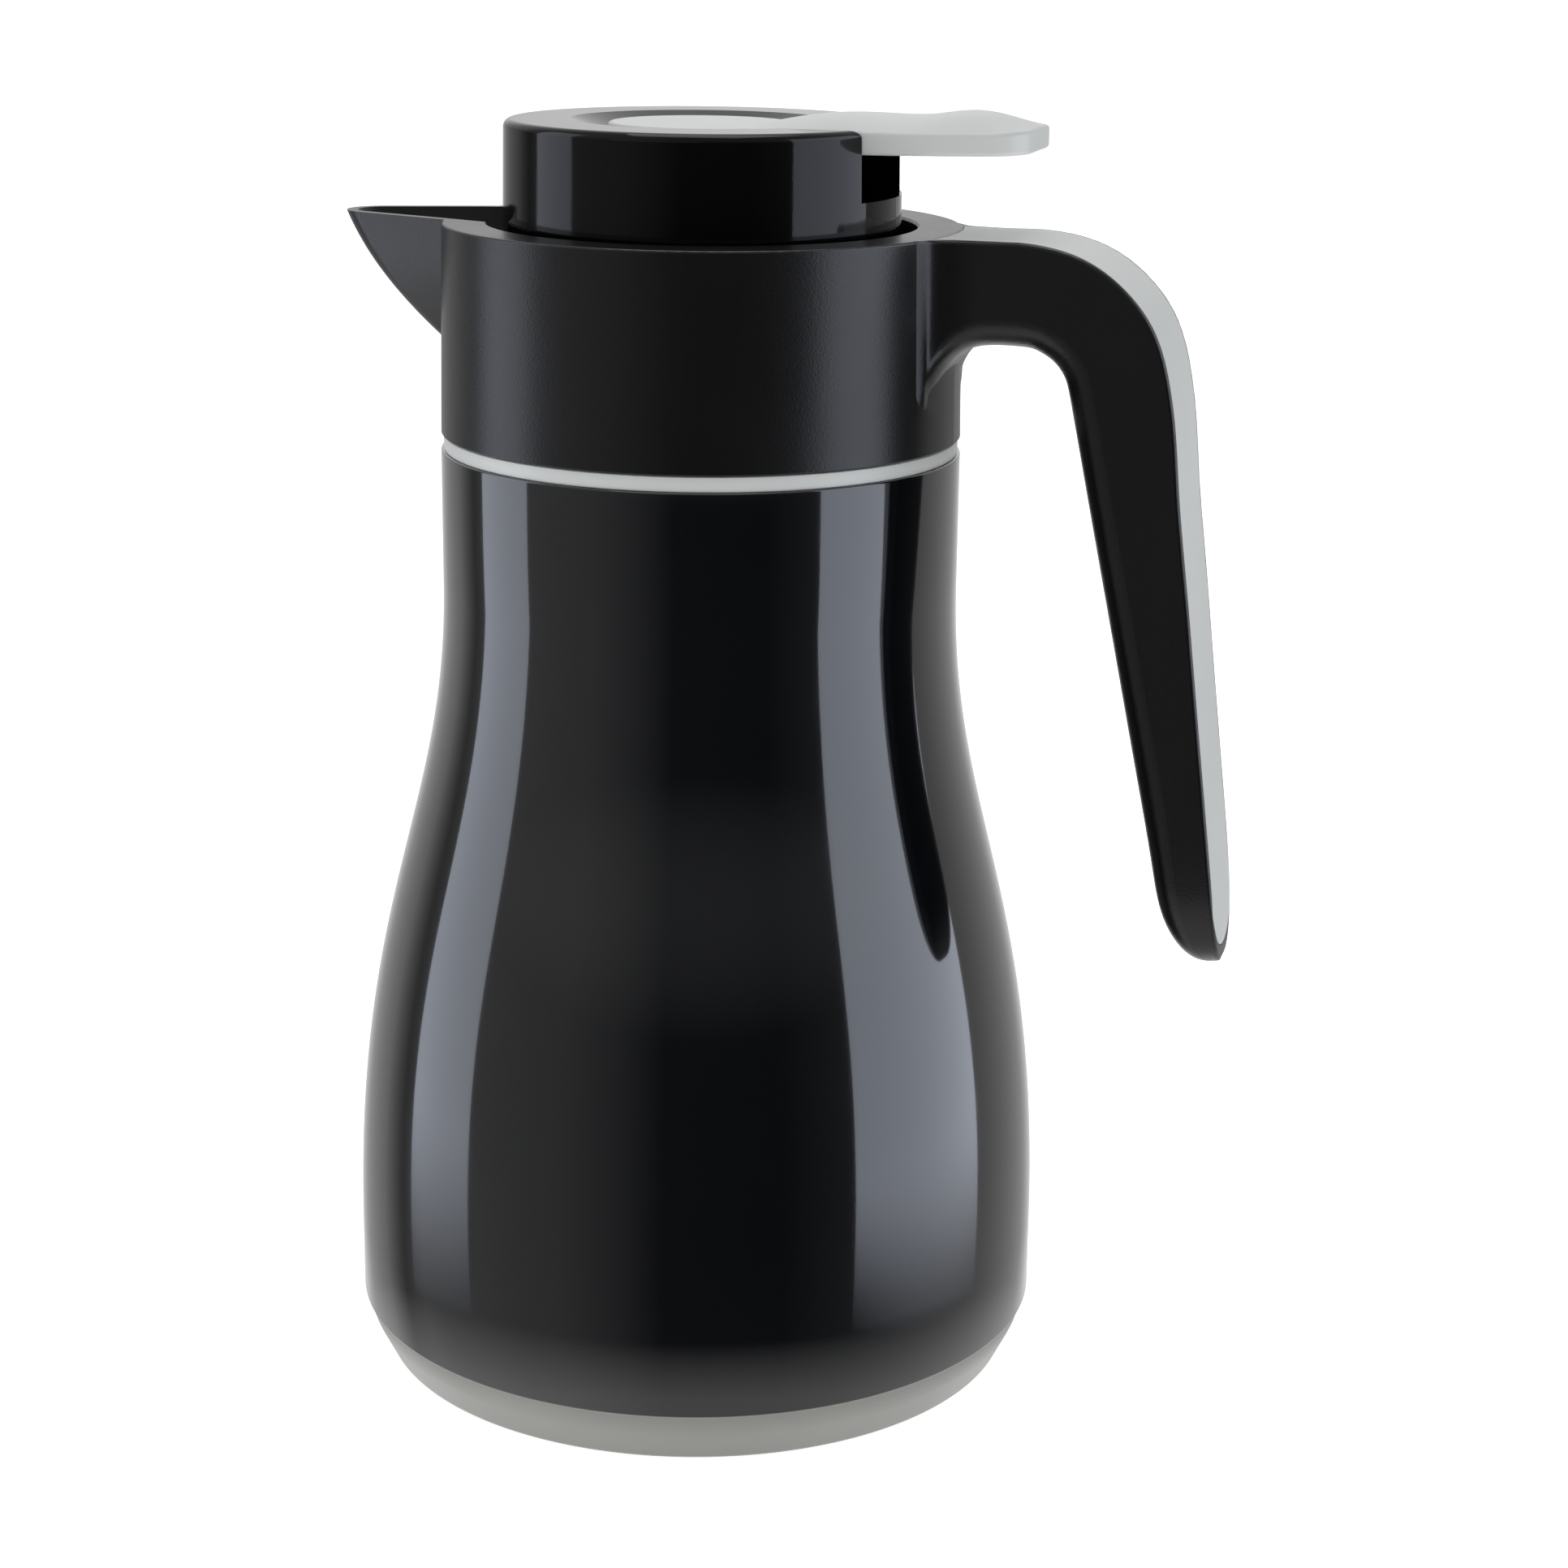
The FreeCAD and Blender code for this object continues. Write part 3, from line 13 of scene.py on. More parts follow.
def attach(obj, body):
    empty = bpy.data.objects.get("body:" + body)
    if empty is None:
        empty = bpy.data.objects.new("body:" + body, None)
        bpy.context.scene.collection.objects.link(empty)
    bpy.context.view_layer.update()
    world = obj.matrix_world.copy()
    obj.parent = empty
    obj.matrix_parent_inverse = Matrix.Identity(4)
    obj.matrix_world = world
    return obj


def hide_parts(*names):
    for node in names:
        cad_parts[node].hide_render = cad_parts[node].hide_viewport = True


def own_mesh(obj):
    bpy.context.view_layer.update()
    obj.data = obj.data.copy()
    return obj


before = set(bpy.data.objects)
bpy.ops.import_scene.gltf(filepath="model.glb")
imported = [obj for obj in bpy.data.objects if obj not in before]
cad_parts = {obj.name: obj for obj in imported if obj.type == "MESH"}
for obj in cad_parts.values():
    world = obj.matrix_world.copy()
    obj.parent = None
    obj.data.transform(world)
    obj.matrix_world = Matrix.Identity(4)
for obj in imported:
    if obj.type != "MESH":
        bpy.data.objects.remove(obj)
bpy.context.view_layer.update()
LOG = logging.getLogger("carafe")

MM = 0.001
MERGE_DISTANCE = 0.001 * MM
HALF_TURN = 180.0
FULL_TURN = 360.0
CENTRE = (0.0, 0.0, 0.0)
UP = (0.0, 0.0, 1.0)
WHITE = (1.0, 1.0, 1.0, 1.0)

# Sizes that neighbouring pieces share
SKIRT_RADIUS = 71.0 * MM
RING_SEAT = 190.2 * MM

Colour = tuple[float, float, float]
Point = tuple[float, float]


class Slot(Enum):
    """Material slots, whose names the finishes' materials take."""

    BODY = "body_gloss"
    LID = "lid_gloss"
    COLLAR = "collar_matte"
    TRIM = "trim_grey"
    BASE = "base_grey"
    INNER = "inner_plastic"
    GLASS = "silvered_glass"
    SEAL = "seal_rubber"
    STEEL = "steel"


class Body(Enum):
    """Moving bodies of the frame that the scene's own pieces ride on."""

    CARAFE = "carafe"
    LID = "lid"


class Marks(Enum):
    """How a surface's fine marks run."""

    MOULDED = "moulded"
    TURNED = "turned"


class Kind(Enum):
    """Socket types of the effect groups."""

    VECTOR = "NodeSocketVector"
    FLOAT = "NodeSocketFloat"
    COLOUR = "NodeSocketColor"


class NodeSheet:
    """One shader tree and the few steps that lay it out."""

    def __init__(self, tree: bpy.types.NodeTree) -> None:
        """Start from an empty tree."""
        self.tree = tree
        tree.nodes.clear()

    def add(self, kind: str, **values: object) -> bpy.types.Node:
        """Add a node and set its inputs or properties.

        Args:
            kind: Blender's name of the node type.
            values: property names, or input names with spaces as underscores.

        Returns:
            The new node.
        """
        node = self.tree.nodes.new(kind)
        for name, value in values.items():
            if hasattr(node, name):
                setattr(node, name, value)
            else:
                node.inputs[name.replace("_", " ")].default_value = value
        return node

    def link(self, source: bpy.types.NodeSocket, target: bpy.types.NodeSocket) -> None:
        """Join two sockets."""
        self.tree.links.new(source, target)


class EffectGroup:
    """A shader node group that several finishes share."""

    def __init__(self, name: str, inputs: Mapping[str, Kind], outputs: Mapping[str, Kind]) -> None:
        """Make the group with its sockets.

        Args:
            name: name of the group.
            inputs: name and type of each input, which every finish sets or links.
            outputs: name and type of each output.
        """
        self.tree = bpy.data.node_groups.new(name, "ShaderNodeTree")
        self.sheet = NodeSheet(self.tree)
        for label, kind in inputs.items():
            self.tree.interface.new_socket(label, in_out="INPUT", socket_type=kind.value)
        for label, kind in outputs.items():
            self.tree.interface.new_socket(label, in_out="OUTPUT", socket_type=kind.value)
        self.start = self.sheet.add("NodeGroupInput")
        self.end = self.sheet.add("NodeGroupOutput")

    def place(self, sheet: NodeSheet, **values: object) -> bpy.types.Node:
        """Place the group in a material with its own values.

        Args:
            sheet: the material's sheet.
            values: input names, with spaces as underscores.

        Returns:
            The group node.
        """
        node = sheet.tree.nodes.new("ShaderNodeGroup")
        node.node_tree = self.tree
        for name, value in values.items():
            node.inputs[name.replace("_", " ")].default_value = value
        return node


def make_tone_drift() -> EffectGroup:
    """Group: slow drift between two near tones.

    Returns:
        The group.
    """
    group = EffectGroup(
        "tone_drift",
        {"Place": Kind.VECTOR, "Patch Scale": Kind.FLOAT, "Tone": Kind.COLOUR,
         "Far Tone": Kind.COLOUR},
        {"Colour": Kind.COLOUR},
    )
    sheet = group.sheet
    patches = sheet.add("ShaderNodeTexNoise", Detail=3.0, Roughness=0.55)
    spread = sheet.add("ShaderNodeMapRange", From_Min=0.3, From_Max=0.7)
    mix = sheet.add("ShaderNodeMix", data_type="RGBA")
    sheet.link(group.start.outputs["Place"], patches.inputs["Vector"])
    sheet.link(group.start.outputs["Patch Scale"], patches.inputs["Scale"])
    sheet.link(patches.outputs["Fac"], spread.inputs["Value"])
    sheet.link(spread.outputs["Result"], mix.inputs["Factor"])
    sheet.link(group.start.outputs["Tone"], mix.inputs["A"])
    sheet.link(group.start.outputs["Far Tone"], mix.inputs["B"])
    sheet.link(mix.outputs["Result"], group.end.inputs["Colour"])
    return group


def make_handling_marks() -> EffectGroup:
    """Group: roughness with faint wiping marks and finger smudges.

    Returns:
        The group.
    """
    group = EffectGroup(
        "handling_marks",
        {"Place": Kind.VECTOR, "Roughness": Kind.FLOAT, "Smudge": Kind.FLOAT, "Wipe": Kind.FLOAT},
        {"Roughness": Kind.FLOAT},
    )
    sheet = group.sheet
    smudge = sheet.add("ShaderNodeTexNoise", Scale=28.0, Detail=5.0, Roughness=0.62)
    keep = sheet.add("ShaderNodeMapRange", From_Min=0.48, From_Max=0.78)
    stretch = sheet.add("ShaderNodeMapping", vector_type="TEXTURE", Scale=(1.0, 1.0, 14.0))
    wipe = sheet.add("ShaderNodeTexNoise", Scale=420.0, Detail=2.0)
    smudge_gain = sheet.add("ShaderNodeMath", operation="MULTIPLY")
    wipe_gain = sheet.add("ShaderNodeMath", operation="MULTIPLY")
    first = sheet.add("ShaderNodeMath", operation="ADD")
    total = sheet.add("ShaderNodeMath", operation="ADD")
    sheet.link(group.start.outputs["Place"], smudge.inputs["Vector"])
    sheet.link(group.start.outputs["Place"], stretch.inputs["Vector"])
    sheet.link(stretch.outputs["Vector"], wipe.inputs["Vector"])
    sheet.link(smudge.outputs["Fac"], keep.inputs["Value"])
    sheet.link(keep.outputs["Result"], smudge_gain.inputs[0])
    sheet.link(group.start.outputs["Smudge"], smudge_gain.inputs[1])
    sheet.link(wipe.outputs["Fac"], wipe_gain.inputs[0])
    sheet.link(group.start.outputs["Wipe"], wipe_gain.inputs[1])
    sheet.link(group.start.outputs["Roughness"], first.inputs[0])
    sheet.link(smudge_gain.outputs["Value"], first.inputs[1])
    sheet.link(first.outputs["Value"], total.inputs[0])
    sheet.link(wipe_gain.outputs["Value"], total.inputs[1])
    sheet.link(total.outputs["Value"], group.end.inputs["Roughness"])
    return group


def make_mould_grain() -> EffectGroup:
    """Group: fine moulded grain over a slight waviness of the skin.

    Returns:
        The group.
    """
    group = EffectGroup(
        "mould_grain",
        {"Place": Kind.VECTOR, "Grain Scale": Kind.FLOAT, "Grain": Kind.FLOAT,
         "Wave Scale": Kind.FLOAT, "Wave": Kind.FLOAT},
        {"Height": Kind.FLOAT},
    )
    sheet = group.sheet
    grain = sheet.add("ShaderNodeTexNoise", Detail=2.0, Roughness=0.5)
    wave = sheet.add("ShaderNodeTexNoise", Detail=1.0)
    grain_gain = sheet.add("ShaderNodeMath", operation="MULTIPLY")
    wave_gain = sheet.add("ShaderNodeMath", operation="MULTIPLY")
    total = sheet.add("ShaderNodeMath", operation="ADD")
    sheet.link(group.start.outputs["Place"], grain.inputs["Vector"])
    sheet.link(group.start.outputs["Place"], wave.inputs["Vector"])
    sheet.link(group.start.outputs["Grain Scale"], grain.inputs["Scale"])
    sheet.link(group.start.outputs["Wave Scale"], wave.inputs["Scale"])
    sheet.link(grain.outputs["Fac"], grain_gain.inputs[0])
    sheet.link(group.start.outputs["Grain"], grain_gain.inputs[1])
    sheet.link(wave.outputs["Fac"], wave_gain.inputs[0])
    sheet.link(group.start.outputs["Wave"], wave_gain.inputs[1])
    sheet.link(grain_gain.outputs["Value"], total.inputs[0])
    sheet.link(wave_gain.outputs["Value"], total.inputs[1])
    sheet.link(total.outputs["Value"], group.end.inputs["Height"])
    return group


def make_turned_lines() -> EffectGroup:
    """Group: fine rings left by turning, round the upright axis.

    Returns:
        The group.
    """
    group = EffectGroup(
        "turned_lines",
        {"Place": Kind.VECTOR, "Line Scale": Kind.FLOAT},
        {"Height": Kind.FLOAT},
    )
    sheet = group.sheet
    squeeze = sheet.add("ShaderNodeMapping", vector_type="POINT", Scale=(0.02, 0.02, 1.0))
    lines = sheet.add("ShaderNodeTexNoise", Detail=2.0)
    sheet.link(group.start.outputs["Place"], squeeze.inputs["Vector"])
    sheet.link(squeeze.outputs["Vector"], lines.inputs["Vector"])
    sheet.link(group.start.outputs["Line Scale"], lines.inputs["Scale"])
    sheet.link(lines.outputs["Fac"], group.end.inputs["Height"])
    return group


@dataclass(frozen=True)
class Effects:
    """The shared effect groups."""

    drift: EffectGroup = field(default_factory=make_tone_drift)
    marks: EffectGroup = field(default_factory=make_handling_marks)
    grain: EffectGroup = field(default_factory=make_mould_grain)
    lines: EffectGroup = field(default_factory=make_turned_lines)


@dataclass(frozen=True)
class Finish:
    """One surface finish: its tones, its gloss and its fine marks."""

    slot: Slot
    tone: Colour
    far_tone: Colour
    roughness: float
    smudge: float = 0.03
    wipe: float = 0.01
    patch_scale: float = 18.0
    metallic: float = 0.0
    ior: float = 1.5
    coat: float = 0.0
    coat_roughness: float = 0.03
    marks: Marks = Marks.MOULDED
    grain_scale: float = 1800.0
    grain: float = 1.0
    wave_scale: float = 60.0
    wave: float = 0.0
    depth: float = 0.01 * MM

    def material(self, effects: Effects) -> bpy.types.Material:
        """Build the finish as a material.

        Args:
            effects: the shared groups.

        Returns:
            The material.
        """
        made = bpy.data.materials.new(self.slot.value)
        made.use_nodes = True
        sheet = NodeSheet(made.node_tree)
        place = sheet.add("ShaderNodeTexCoord").outputs["Object"]
        skin = sheet.add("ShaderNodeBsdfPrincipled", Metallic=self.metallic, IOR=self.ior,
                         Coat_Weight=self.coat, Coat_Roughness=self.coat_roughness)
        out = sheet.add("ShaderNodeOutputMaterial")
        sheet.link(skin.outputs["BSDF"], out.inputs["Surface"])
        drift = effects.drift.place(sheet, Patch_Scale=self.patch_scale, Tone=(*self.tone, 1.0),
                                    Far_Tone=(*self.far_tone, 1.0))
        sheet.link(place, drift.inputs["Place"])
        sheet.link(drift.outputs["Colour"], skin.inputs["Base Color"])
        marks = effects.marks.place(sheet, Roughness=self.roughness, Smudge=self.smudge,
                                    Wipe=self.wipe)
        sheet.link(place, marks.inputs["Place"])
        sheet.link(marks.outputs["Roughness"], skin.inputs["Roughness"])
        self.add_relief(sheet, effects, place, skin)
        return made

    def add_relief(self, sheet: NodeSheet, effects: Effects, place: bpy.types.NodeSocket,
                   skin: bpy.types.Node) -> None:
        """Give the surface its fine relief.

        Args:
            sheet: the material's sheet.
            effects: the shared groups.
            place: object coordinates.
            skin: the surface shader.
        """
        if self.marks is Marks.TURNED:
            relief = effects.lines.place(sheet, Line_Scale=self.grain_scale)
        else:
            relief = effects.grain.place(sheet, Grain_Scale=self.grain_scale, Grain=self.grain,
                                         Wave_Scale=self.wave_scale, Wave=self.wave)
        bump = sheet.add("ShaderNodeBump", Strength=1.0, Distance=self.depth)
        sheet.link(place, relief.inputs["Place"])
        sheet.link(relief.outputs["Height"], bump.inputs["Height"])
        sheet.link(bump.outputs["Normal"], skin.inputs["Normal"])


FINISHES = (
    Finish(Slot.BODY, tone=(0.0025, 0.003, 0.0042), far_tone=(0.002, 0.0024, 0.0034),
           roughness=0.07, smudge=0.05, wipe=0.02, coat=1.0, coat_roughness=0.02,
           grain=0.15, wave=1.0, depth=0.02 * MM),
    Finish(Slot.LID, tone=(0.0024, 0.0024, 0.0026), far_tone=(0.002, 0.002, 0.0022),
           roughness=0.06, smudge=0.05, wipe=0.02, ior=1.36,
           grain=0.15, wave=0.6, depth=0.02 * MM),
    Finish(Slot.COLLAR, tone=(0.004, 0.004, 0.0042), far_tone=(0.003, 0.003, 0.0032),
           roughness=0.27, smudge=0.05, wipe=0.03, grain_scale=2200.0, depth=0.03 * MM),
    Finish(Slot.TRIM, tone=(0.63, 0.652, 0.648), far_tone=(0.59, 0.612, 0.608),
           roughness=0.36, smudge=0.06, wipe=0.03, grain_scale=2600.0),
    Finish(Slot.BASE, tone=(0.29, 0.294, 0.275), far_tone=(0.265, 0.27, 0.252),
           roughness=0.3, smudge=0.06, wipe=0.03, grain_scale=2600.0),
    Finish(Slot.INNER, tone=(0.012, 0.012, 0.013), far_tone=(0.009, 0.009, 0.01),
           roughness=0.38, grain_scale=2000.0, depth=0.02 * MM),
    Finish(Slot.GLASS, tone=(0.8, 0.815, 0.825), far_tone=(0.75, 0.77, 0.785),
           roughness=0.06, metallic=1.0, coat=1.0, grain=0.0, wave=1.0, depth=0.03 * MM),
    Finish(Slot.SEAL, tone=(0.2, 0.2, 0.195), far_tone=(0.17, 0.17, 0.165),
           roughness=0.55, smudge=0.08, grain_scale=1500.0, depth=0.03 * MM),
    Finish(Slot.STEEL, tone=(0.56, 0.57, 0.575), far_tone=(0.5, 0.51, 0.515),
           roughness=0.24, metallic=1.0, marks=Marks.TURNED),
)


class Palette:
    """All finishes as materials, by slot."""

    def __init__(self, finishes: Sequence[Finish]) -> None:
        """Build each finish once."""
        effects = Effects()
        self.materials = {finish.slot: finish.material(effects) for finish in finishes}

    def dress(self, piece: bpy.types.Object, slot: Slot) -> None:
        """Give a piece its finish, the material named after its slot.

        Args:
            piece: the piece.
            slot: the slot whose finish it takes.
        """
        piece.data.materials.clear()
        piece.data.materials.append(self.materials[slot])


def link_mesh(name: str, shape: bmesh.types.BMesh, crease: float) -> bpy.types.Object:
    """Turn a finished shape into an object at the origin, smooth but for its creases.

    Args:
        name: name of the piece.
        shape: the shape, which is freed.
        crease: least angle of an edge that stays sharp, in degrees.

    Returns:
        The object.
    """
    mesh = bpy.data.meshes.new(name)
    shape.to_mesh(mesh)
    shape.free()
    mesh.polygons.foreach_set("use_smooth", [True] * len(mesh.polygons))
    mesh.set_sharp_from_angle(angle=math.radians(crease))
    piece = bpy.data.objects.new(name, mesh)
    bpy.context.scene.collection.objects.link(piece)
    return piece


def corner_edges(shape: bmesh.types.BMesh, least: float) -> list[bmesh.types.BMEdge]:
    """Edges of a turned shape that stand out as corners.

    Args:
        shape: the shape.
        least: least angle between the faces, in degrees.

    Returns:
        The edges.
    """
    return [edge for edge in shape.edges
            if len(edge.link_faces) == 2 and edge.calc_face_angle() > math.radians(least)]


@dataclass(frozen=True)
class Turning:
    """How finely a turned piece is made. The corner and crease angles are in degrees."""

    steps: int = 256
    corner: float = 25.0
    segments: int = 3
    crease: float = 40.0

    def make(self, name: str, outline: Sequence[Point], edge: float) -> bpy.types.Object:
        """Turn a closed outline about the upright axis and round its corners.

        Args:
            name: name of the piece.
            outline: radius and height of each corner, in metres.
            edge: rounding of the corners, in metres.

        Returns:
            The piece.
        """
        shape = bmesh.new()
        corners = [shape.verts.new((radius, 0.0, height)) for radius, height in outline]
        for first, second in zip(corners, corners[1:] + corners[:1]):
            shape.edges.new((first, second))
        bmesh.ops.spin(shape, geom=shape.verts[:] + shape.edges[:], cent=CENTRE, axis=UP,
                       angle=math.radians(FULL_TURN), steps=self.steps, use_merge=True)
        bmesh.ops.remove_doubles(shape, verts=shape.verts, dist=MERGE_DISTANCE)
        bmesh.ops.dissolve_degenerate(shape, edges=shape.edges, dist=MERGE_DISTANCE)
        bmesh.ops.recalc_face_normals(shape, faces=shape.faces)
        bmesh.ops.bevel(shape, geom=corner_edges(shape, self.corner), offset=edge,
                        segments=self.segments, profile=0.5, affect="EDGES", material=-1,
                        clamp_overlap=True)
        return link_mesh(name, shape, self.crease)


def curve_points(start: Point, start_pull: Point, end_pull: Point, end: Point,
                 count: int) -> list[Point]:
    """Points along a smooth side curve.

    Args:
        start: first point, radius and height.
        start_pull: handle of the first point.
        end_pull: handle of the last point.
        end: last point.
        count: number of points.

    Returns:
        The points, both ends included.
    """
    poles = [Vector((radius, 0.0, height))
             for radius, height in (start, start_pull, end_pull, end)]
    return [(point.x, point.z) for point in interpolate_bezier(*poles, count)]


@dataclass
class Jacket:
    """Bell-shaped outer body with a spigot that the ring and the collar sit on.

    The pulls are shares of the flare's height.
    """

    skirt: float = SKIRT_RADIUS
    neck: float = 51.9 * MM
    wall: float = 2.5 * MM
    foot: float = 11.5 * MM
    top: float = RING_SEAT
    flare_start: float = 27.5 * MM
    flare_height: float = 135.0 * MM
    lower_pull: float = 0.523
    upper_pull: float = 0.353
    spigot: float = 49.1 * MM
    spigot_top: float = 198.0 * MM
    edge: float = 0.35 * MM
    curve_count: int = 72
    turning: Turning = Turning()

    def bell(self, inset: float) -> list[Point]:
        """Bell curve moved inwards.

        Args:
            inset: distance inwards.

        Returns:
            Points from the skirt to the neck.
        """
        low = self.flare_start
        high = low + self.flare_height
        return curve_points(
            (self.skirt - inset, low),
            (self.skirt - inset, low + self.lower_pull * self.flare_height),
            (self.neck - inset, high - self.upper_pull * self.flare_height),
            (self.neck - inset, high),
            self.curve_count,
        )

    def build(self) -> bpy.types.Object:
        """Turn the jacket.

        Returns:
            The jacket.
        """
        shoulder = self.top - self.wall
        bore = self.spigot - self.wall
        outline = [
            (self.skirt, self.foot),
            *self.bell(0.0),
            (self.neck, self.top),
            (self.spigot, self.top),
            (self.spigot, self.spigot_top),
            (bore, self.spigot_top),
            (bore, shoulder),
            (self.neck - self.wall, shoulder),
            *reversed(self.bell(self.wall)),
            (self.skirt - self.wall, self.foot),
        ]
        piece = self.turning.make("jacket", outline, self.edge)
        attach(piece, Body.CARAFE.value)
        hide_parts("outer_body")
        return piece

    def dress(self, piece: bpy.types.Object, palette: Palette) -> None:
        """Give the jacket its gloss."""
        palette.dress(piece, Slot.BODY)


@dataclass
class Foot:
    """Grey base: a rounded bowl with a lip, a foot ring and a centre pad."""

    skirt: float = SKIRT_RADIUS
    step: float = 0.7 * MM
    land: float = 10.9 * MM
    band: float = 1.6 * MM
    taper: float = 5.4 * MM
    side_round: float = 14.0 * MM
    foot_round: float = 1.6 * MM
    foot_width: float = 7.6 * MM
    recess: float = 2.0 * MM
    pad: float = 22.0 * MM
    holder: float = 68.35 * MM
    holder_wall: float = 2.2 * MM
    holder_top: float = 24.5 * MM
    floor: float = 4.2 * MM
    edge: float = 0.3 * MM
    arc_count: int = 14
    turning: Turning = Turning()

    def rounded_corner(self, before: Point, corner: Point, after: Point,
                       radius: float) -> list[Point]:
        """Points of an arc that rounds a corner of the outline.

        Args:
            before: point before the corner.
            corner: the corner.
            after: point after the corner.
            radius: radius of the arc.

        Returns:
            The arc's points.
        """
        here = Vector(corner)
        back = (Vector(before) - here).normalized()
        on = (Vector(after) - here).normalized()
        half = back.angle(on) / 2.0
        centre = here + (back + on).normalized() * (radius / math.sin(half))
        reach = radius / math.tan(half)
        first = here + back * reach - centre
        last = here + on * reach - centre
        sweep = first.angle_signed(last)
        points = [centre + Matrix.Rotation(-sweep * index / (self.arc_count - 1), 2) @ first
                  for index in range(self.arc_count)]
        return [(point.x, point.y) for point in points]

    def build(self) -> bpy.types.Object:
        """Turn the base.

        Returns:
            The base.
        """
        band = self.skirt - self.step
        foot = self.skirt - self.taper
        hollow = foot - self.foot_width
        bore = self.holder - self.holder_wall
        side = (band, self.land - self.band)
        outline = [
            (0.0, 0.0),
            (self.pad, 0.0),
            (self.pad + self.recess, self.recess),
            (hollow, self.recess),
            (hollow + self.recess, 0.0),
            *self.rounded_corner((hollow, 0.0), (foot, 0.0), side, self.foot_round),
            *self.rounded_corner((foot, 0.0), side, (band, self.land), self.side_round),
            (band, self.land),
            (self.holder, self.land),
            (self.holder, self.holder_top),
            (bore, self.holder_top),
            (bore, self.floor),
            (0.0, self.floor),
        ]
        piece = self.turning.make("foot", outline, self.edge)
        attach(piece, Body.CARAFE.value)
        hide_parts("base_cap")
        return piece

    def dress(self, piece: bpy.types.Object, palette: Palette) -> None:
        """Give the base its grey."""
        palette.dress(piece, Slot.BASE)


@dataclass
class TrimRing:
    """Grey ring between the jacket and the collar."""

    inner: float = 49.25 * MM
    outer: float = 51.35 * MM
    bottom: float = RING_SEAT
    top: float = 193.2 * MM
    edge: float = 0.3 * MM
    turning: Turning = Turning()

    def build(self) -> bpy.types.Object:
        """Turn the ring.

        Returns:
            The ring.
        """
        outline = [
            (self.inner, self.bottom),
            (self.outer, self.bottom),
            (self.outer, self.top),
            (self.inner, self.top),
        ]
        piece = self.turning.make("ring", outline, self.edge)
        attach(piece, Body.CARAFE.value)
        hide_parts("trim_ring")
        return piece

    def dress(self, piece: bpy.types.Object, palette: Palette) -> None:
        """Give the ring its grey."""
        palette.dress(piece, Slot.TRIM)


@dataclass
class ReturnSpring:
    """Coil spring under the stem cap, which shortens as the valve opens.

    The coil is the radius of the wire's middle line, the wire its own radius, and low and high
    are the heights of the two ends of that line. The crease is in degrees.
    """

    coil: float = 4.4 * MM
    wire: float = 0.5 * MM
    low: float = 230.6 * MM
    high: float = 242.2 * MM
    travel: float = 2.27 * MM
    turns: int = 5
    turn_steps: int = 40
    wire_sides: int = 12
    crease: float = 60.0

    def build(self) -> bpy.types.Object:
        """Wind the wire.

        Returns:
            The spring.
        """
        shape = bmesh.new()
        upright = Matrix.Rotation(math.pi / 2.0, 4, "X")
        start = Matrix.Translation((self.coil, 0.0, self.low)) @ upright
        bmesh.ops.create_circle(shape, segments=self.wire_sides, radius=self.wire, matrix=start)
        steps = self.turns * self.turn_steps
        bmesh.ops.spin(shape, geom=shape.verts[:] + shape.edges[:], cent=CENTRE, axis=UP,
                       dvec=(0.0, 0.0, (self.high - self.low) / steps),
                       angle=math.radians(FULL_TURN) * self.turns, steps=steps)
        ends = [edge for edge in shape.edges if edge.is_boundary]
        bmesh.ops.holes_fill(shape, edges=ends, sides=self.wire_sides)
        bmesh.ops.recalc_face_normals(shape, faces=shape.faces)
        piece = link_mesh("spring", shape, self.crease)
        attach(piece, Body.LID.value)
        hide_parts("return_spring")
        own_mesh(piece)
        return piece

    def dress(self, piece: bpy.types.Object, palette: Palette) -> None:
        """Give the spring its steel."""
        palette.dress(piece, Slot.STEEL)


@dataclass(frozen=True)
class Softbox:
    """An upright light panel: its place round the carafe, its ends and its brightness.

    The side is the angle to the right of the viewer's direction, in degrees. The glow is how
    bright the panel is in reflections, where it looks faintly blue, and the fill how much of it
    lights matte surfaces. The fade is the share of its height that dims towards each end.
    """

    name: str
    side: float
    distance: float
    width: float
    bottom: float
    top: float
    glow: float
    fill: float
    fade: float = 0.2
    tint: Colour = (0.8, 0.86, 1.0)


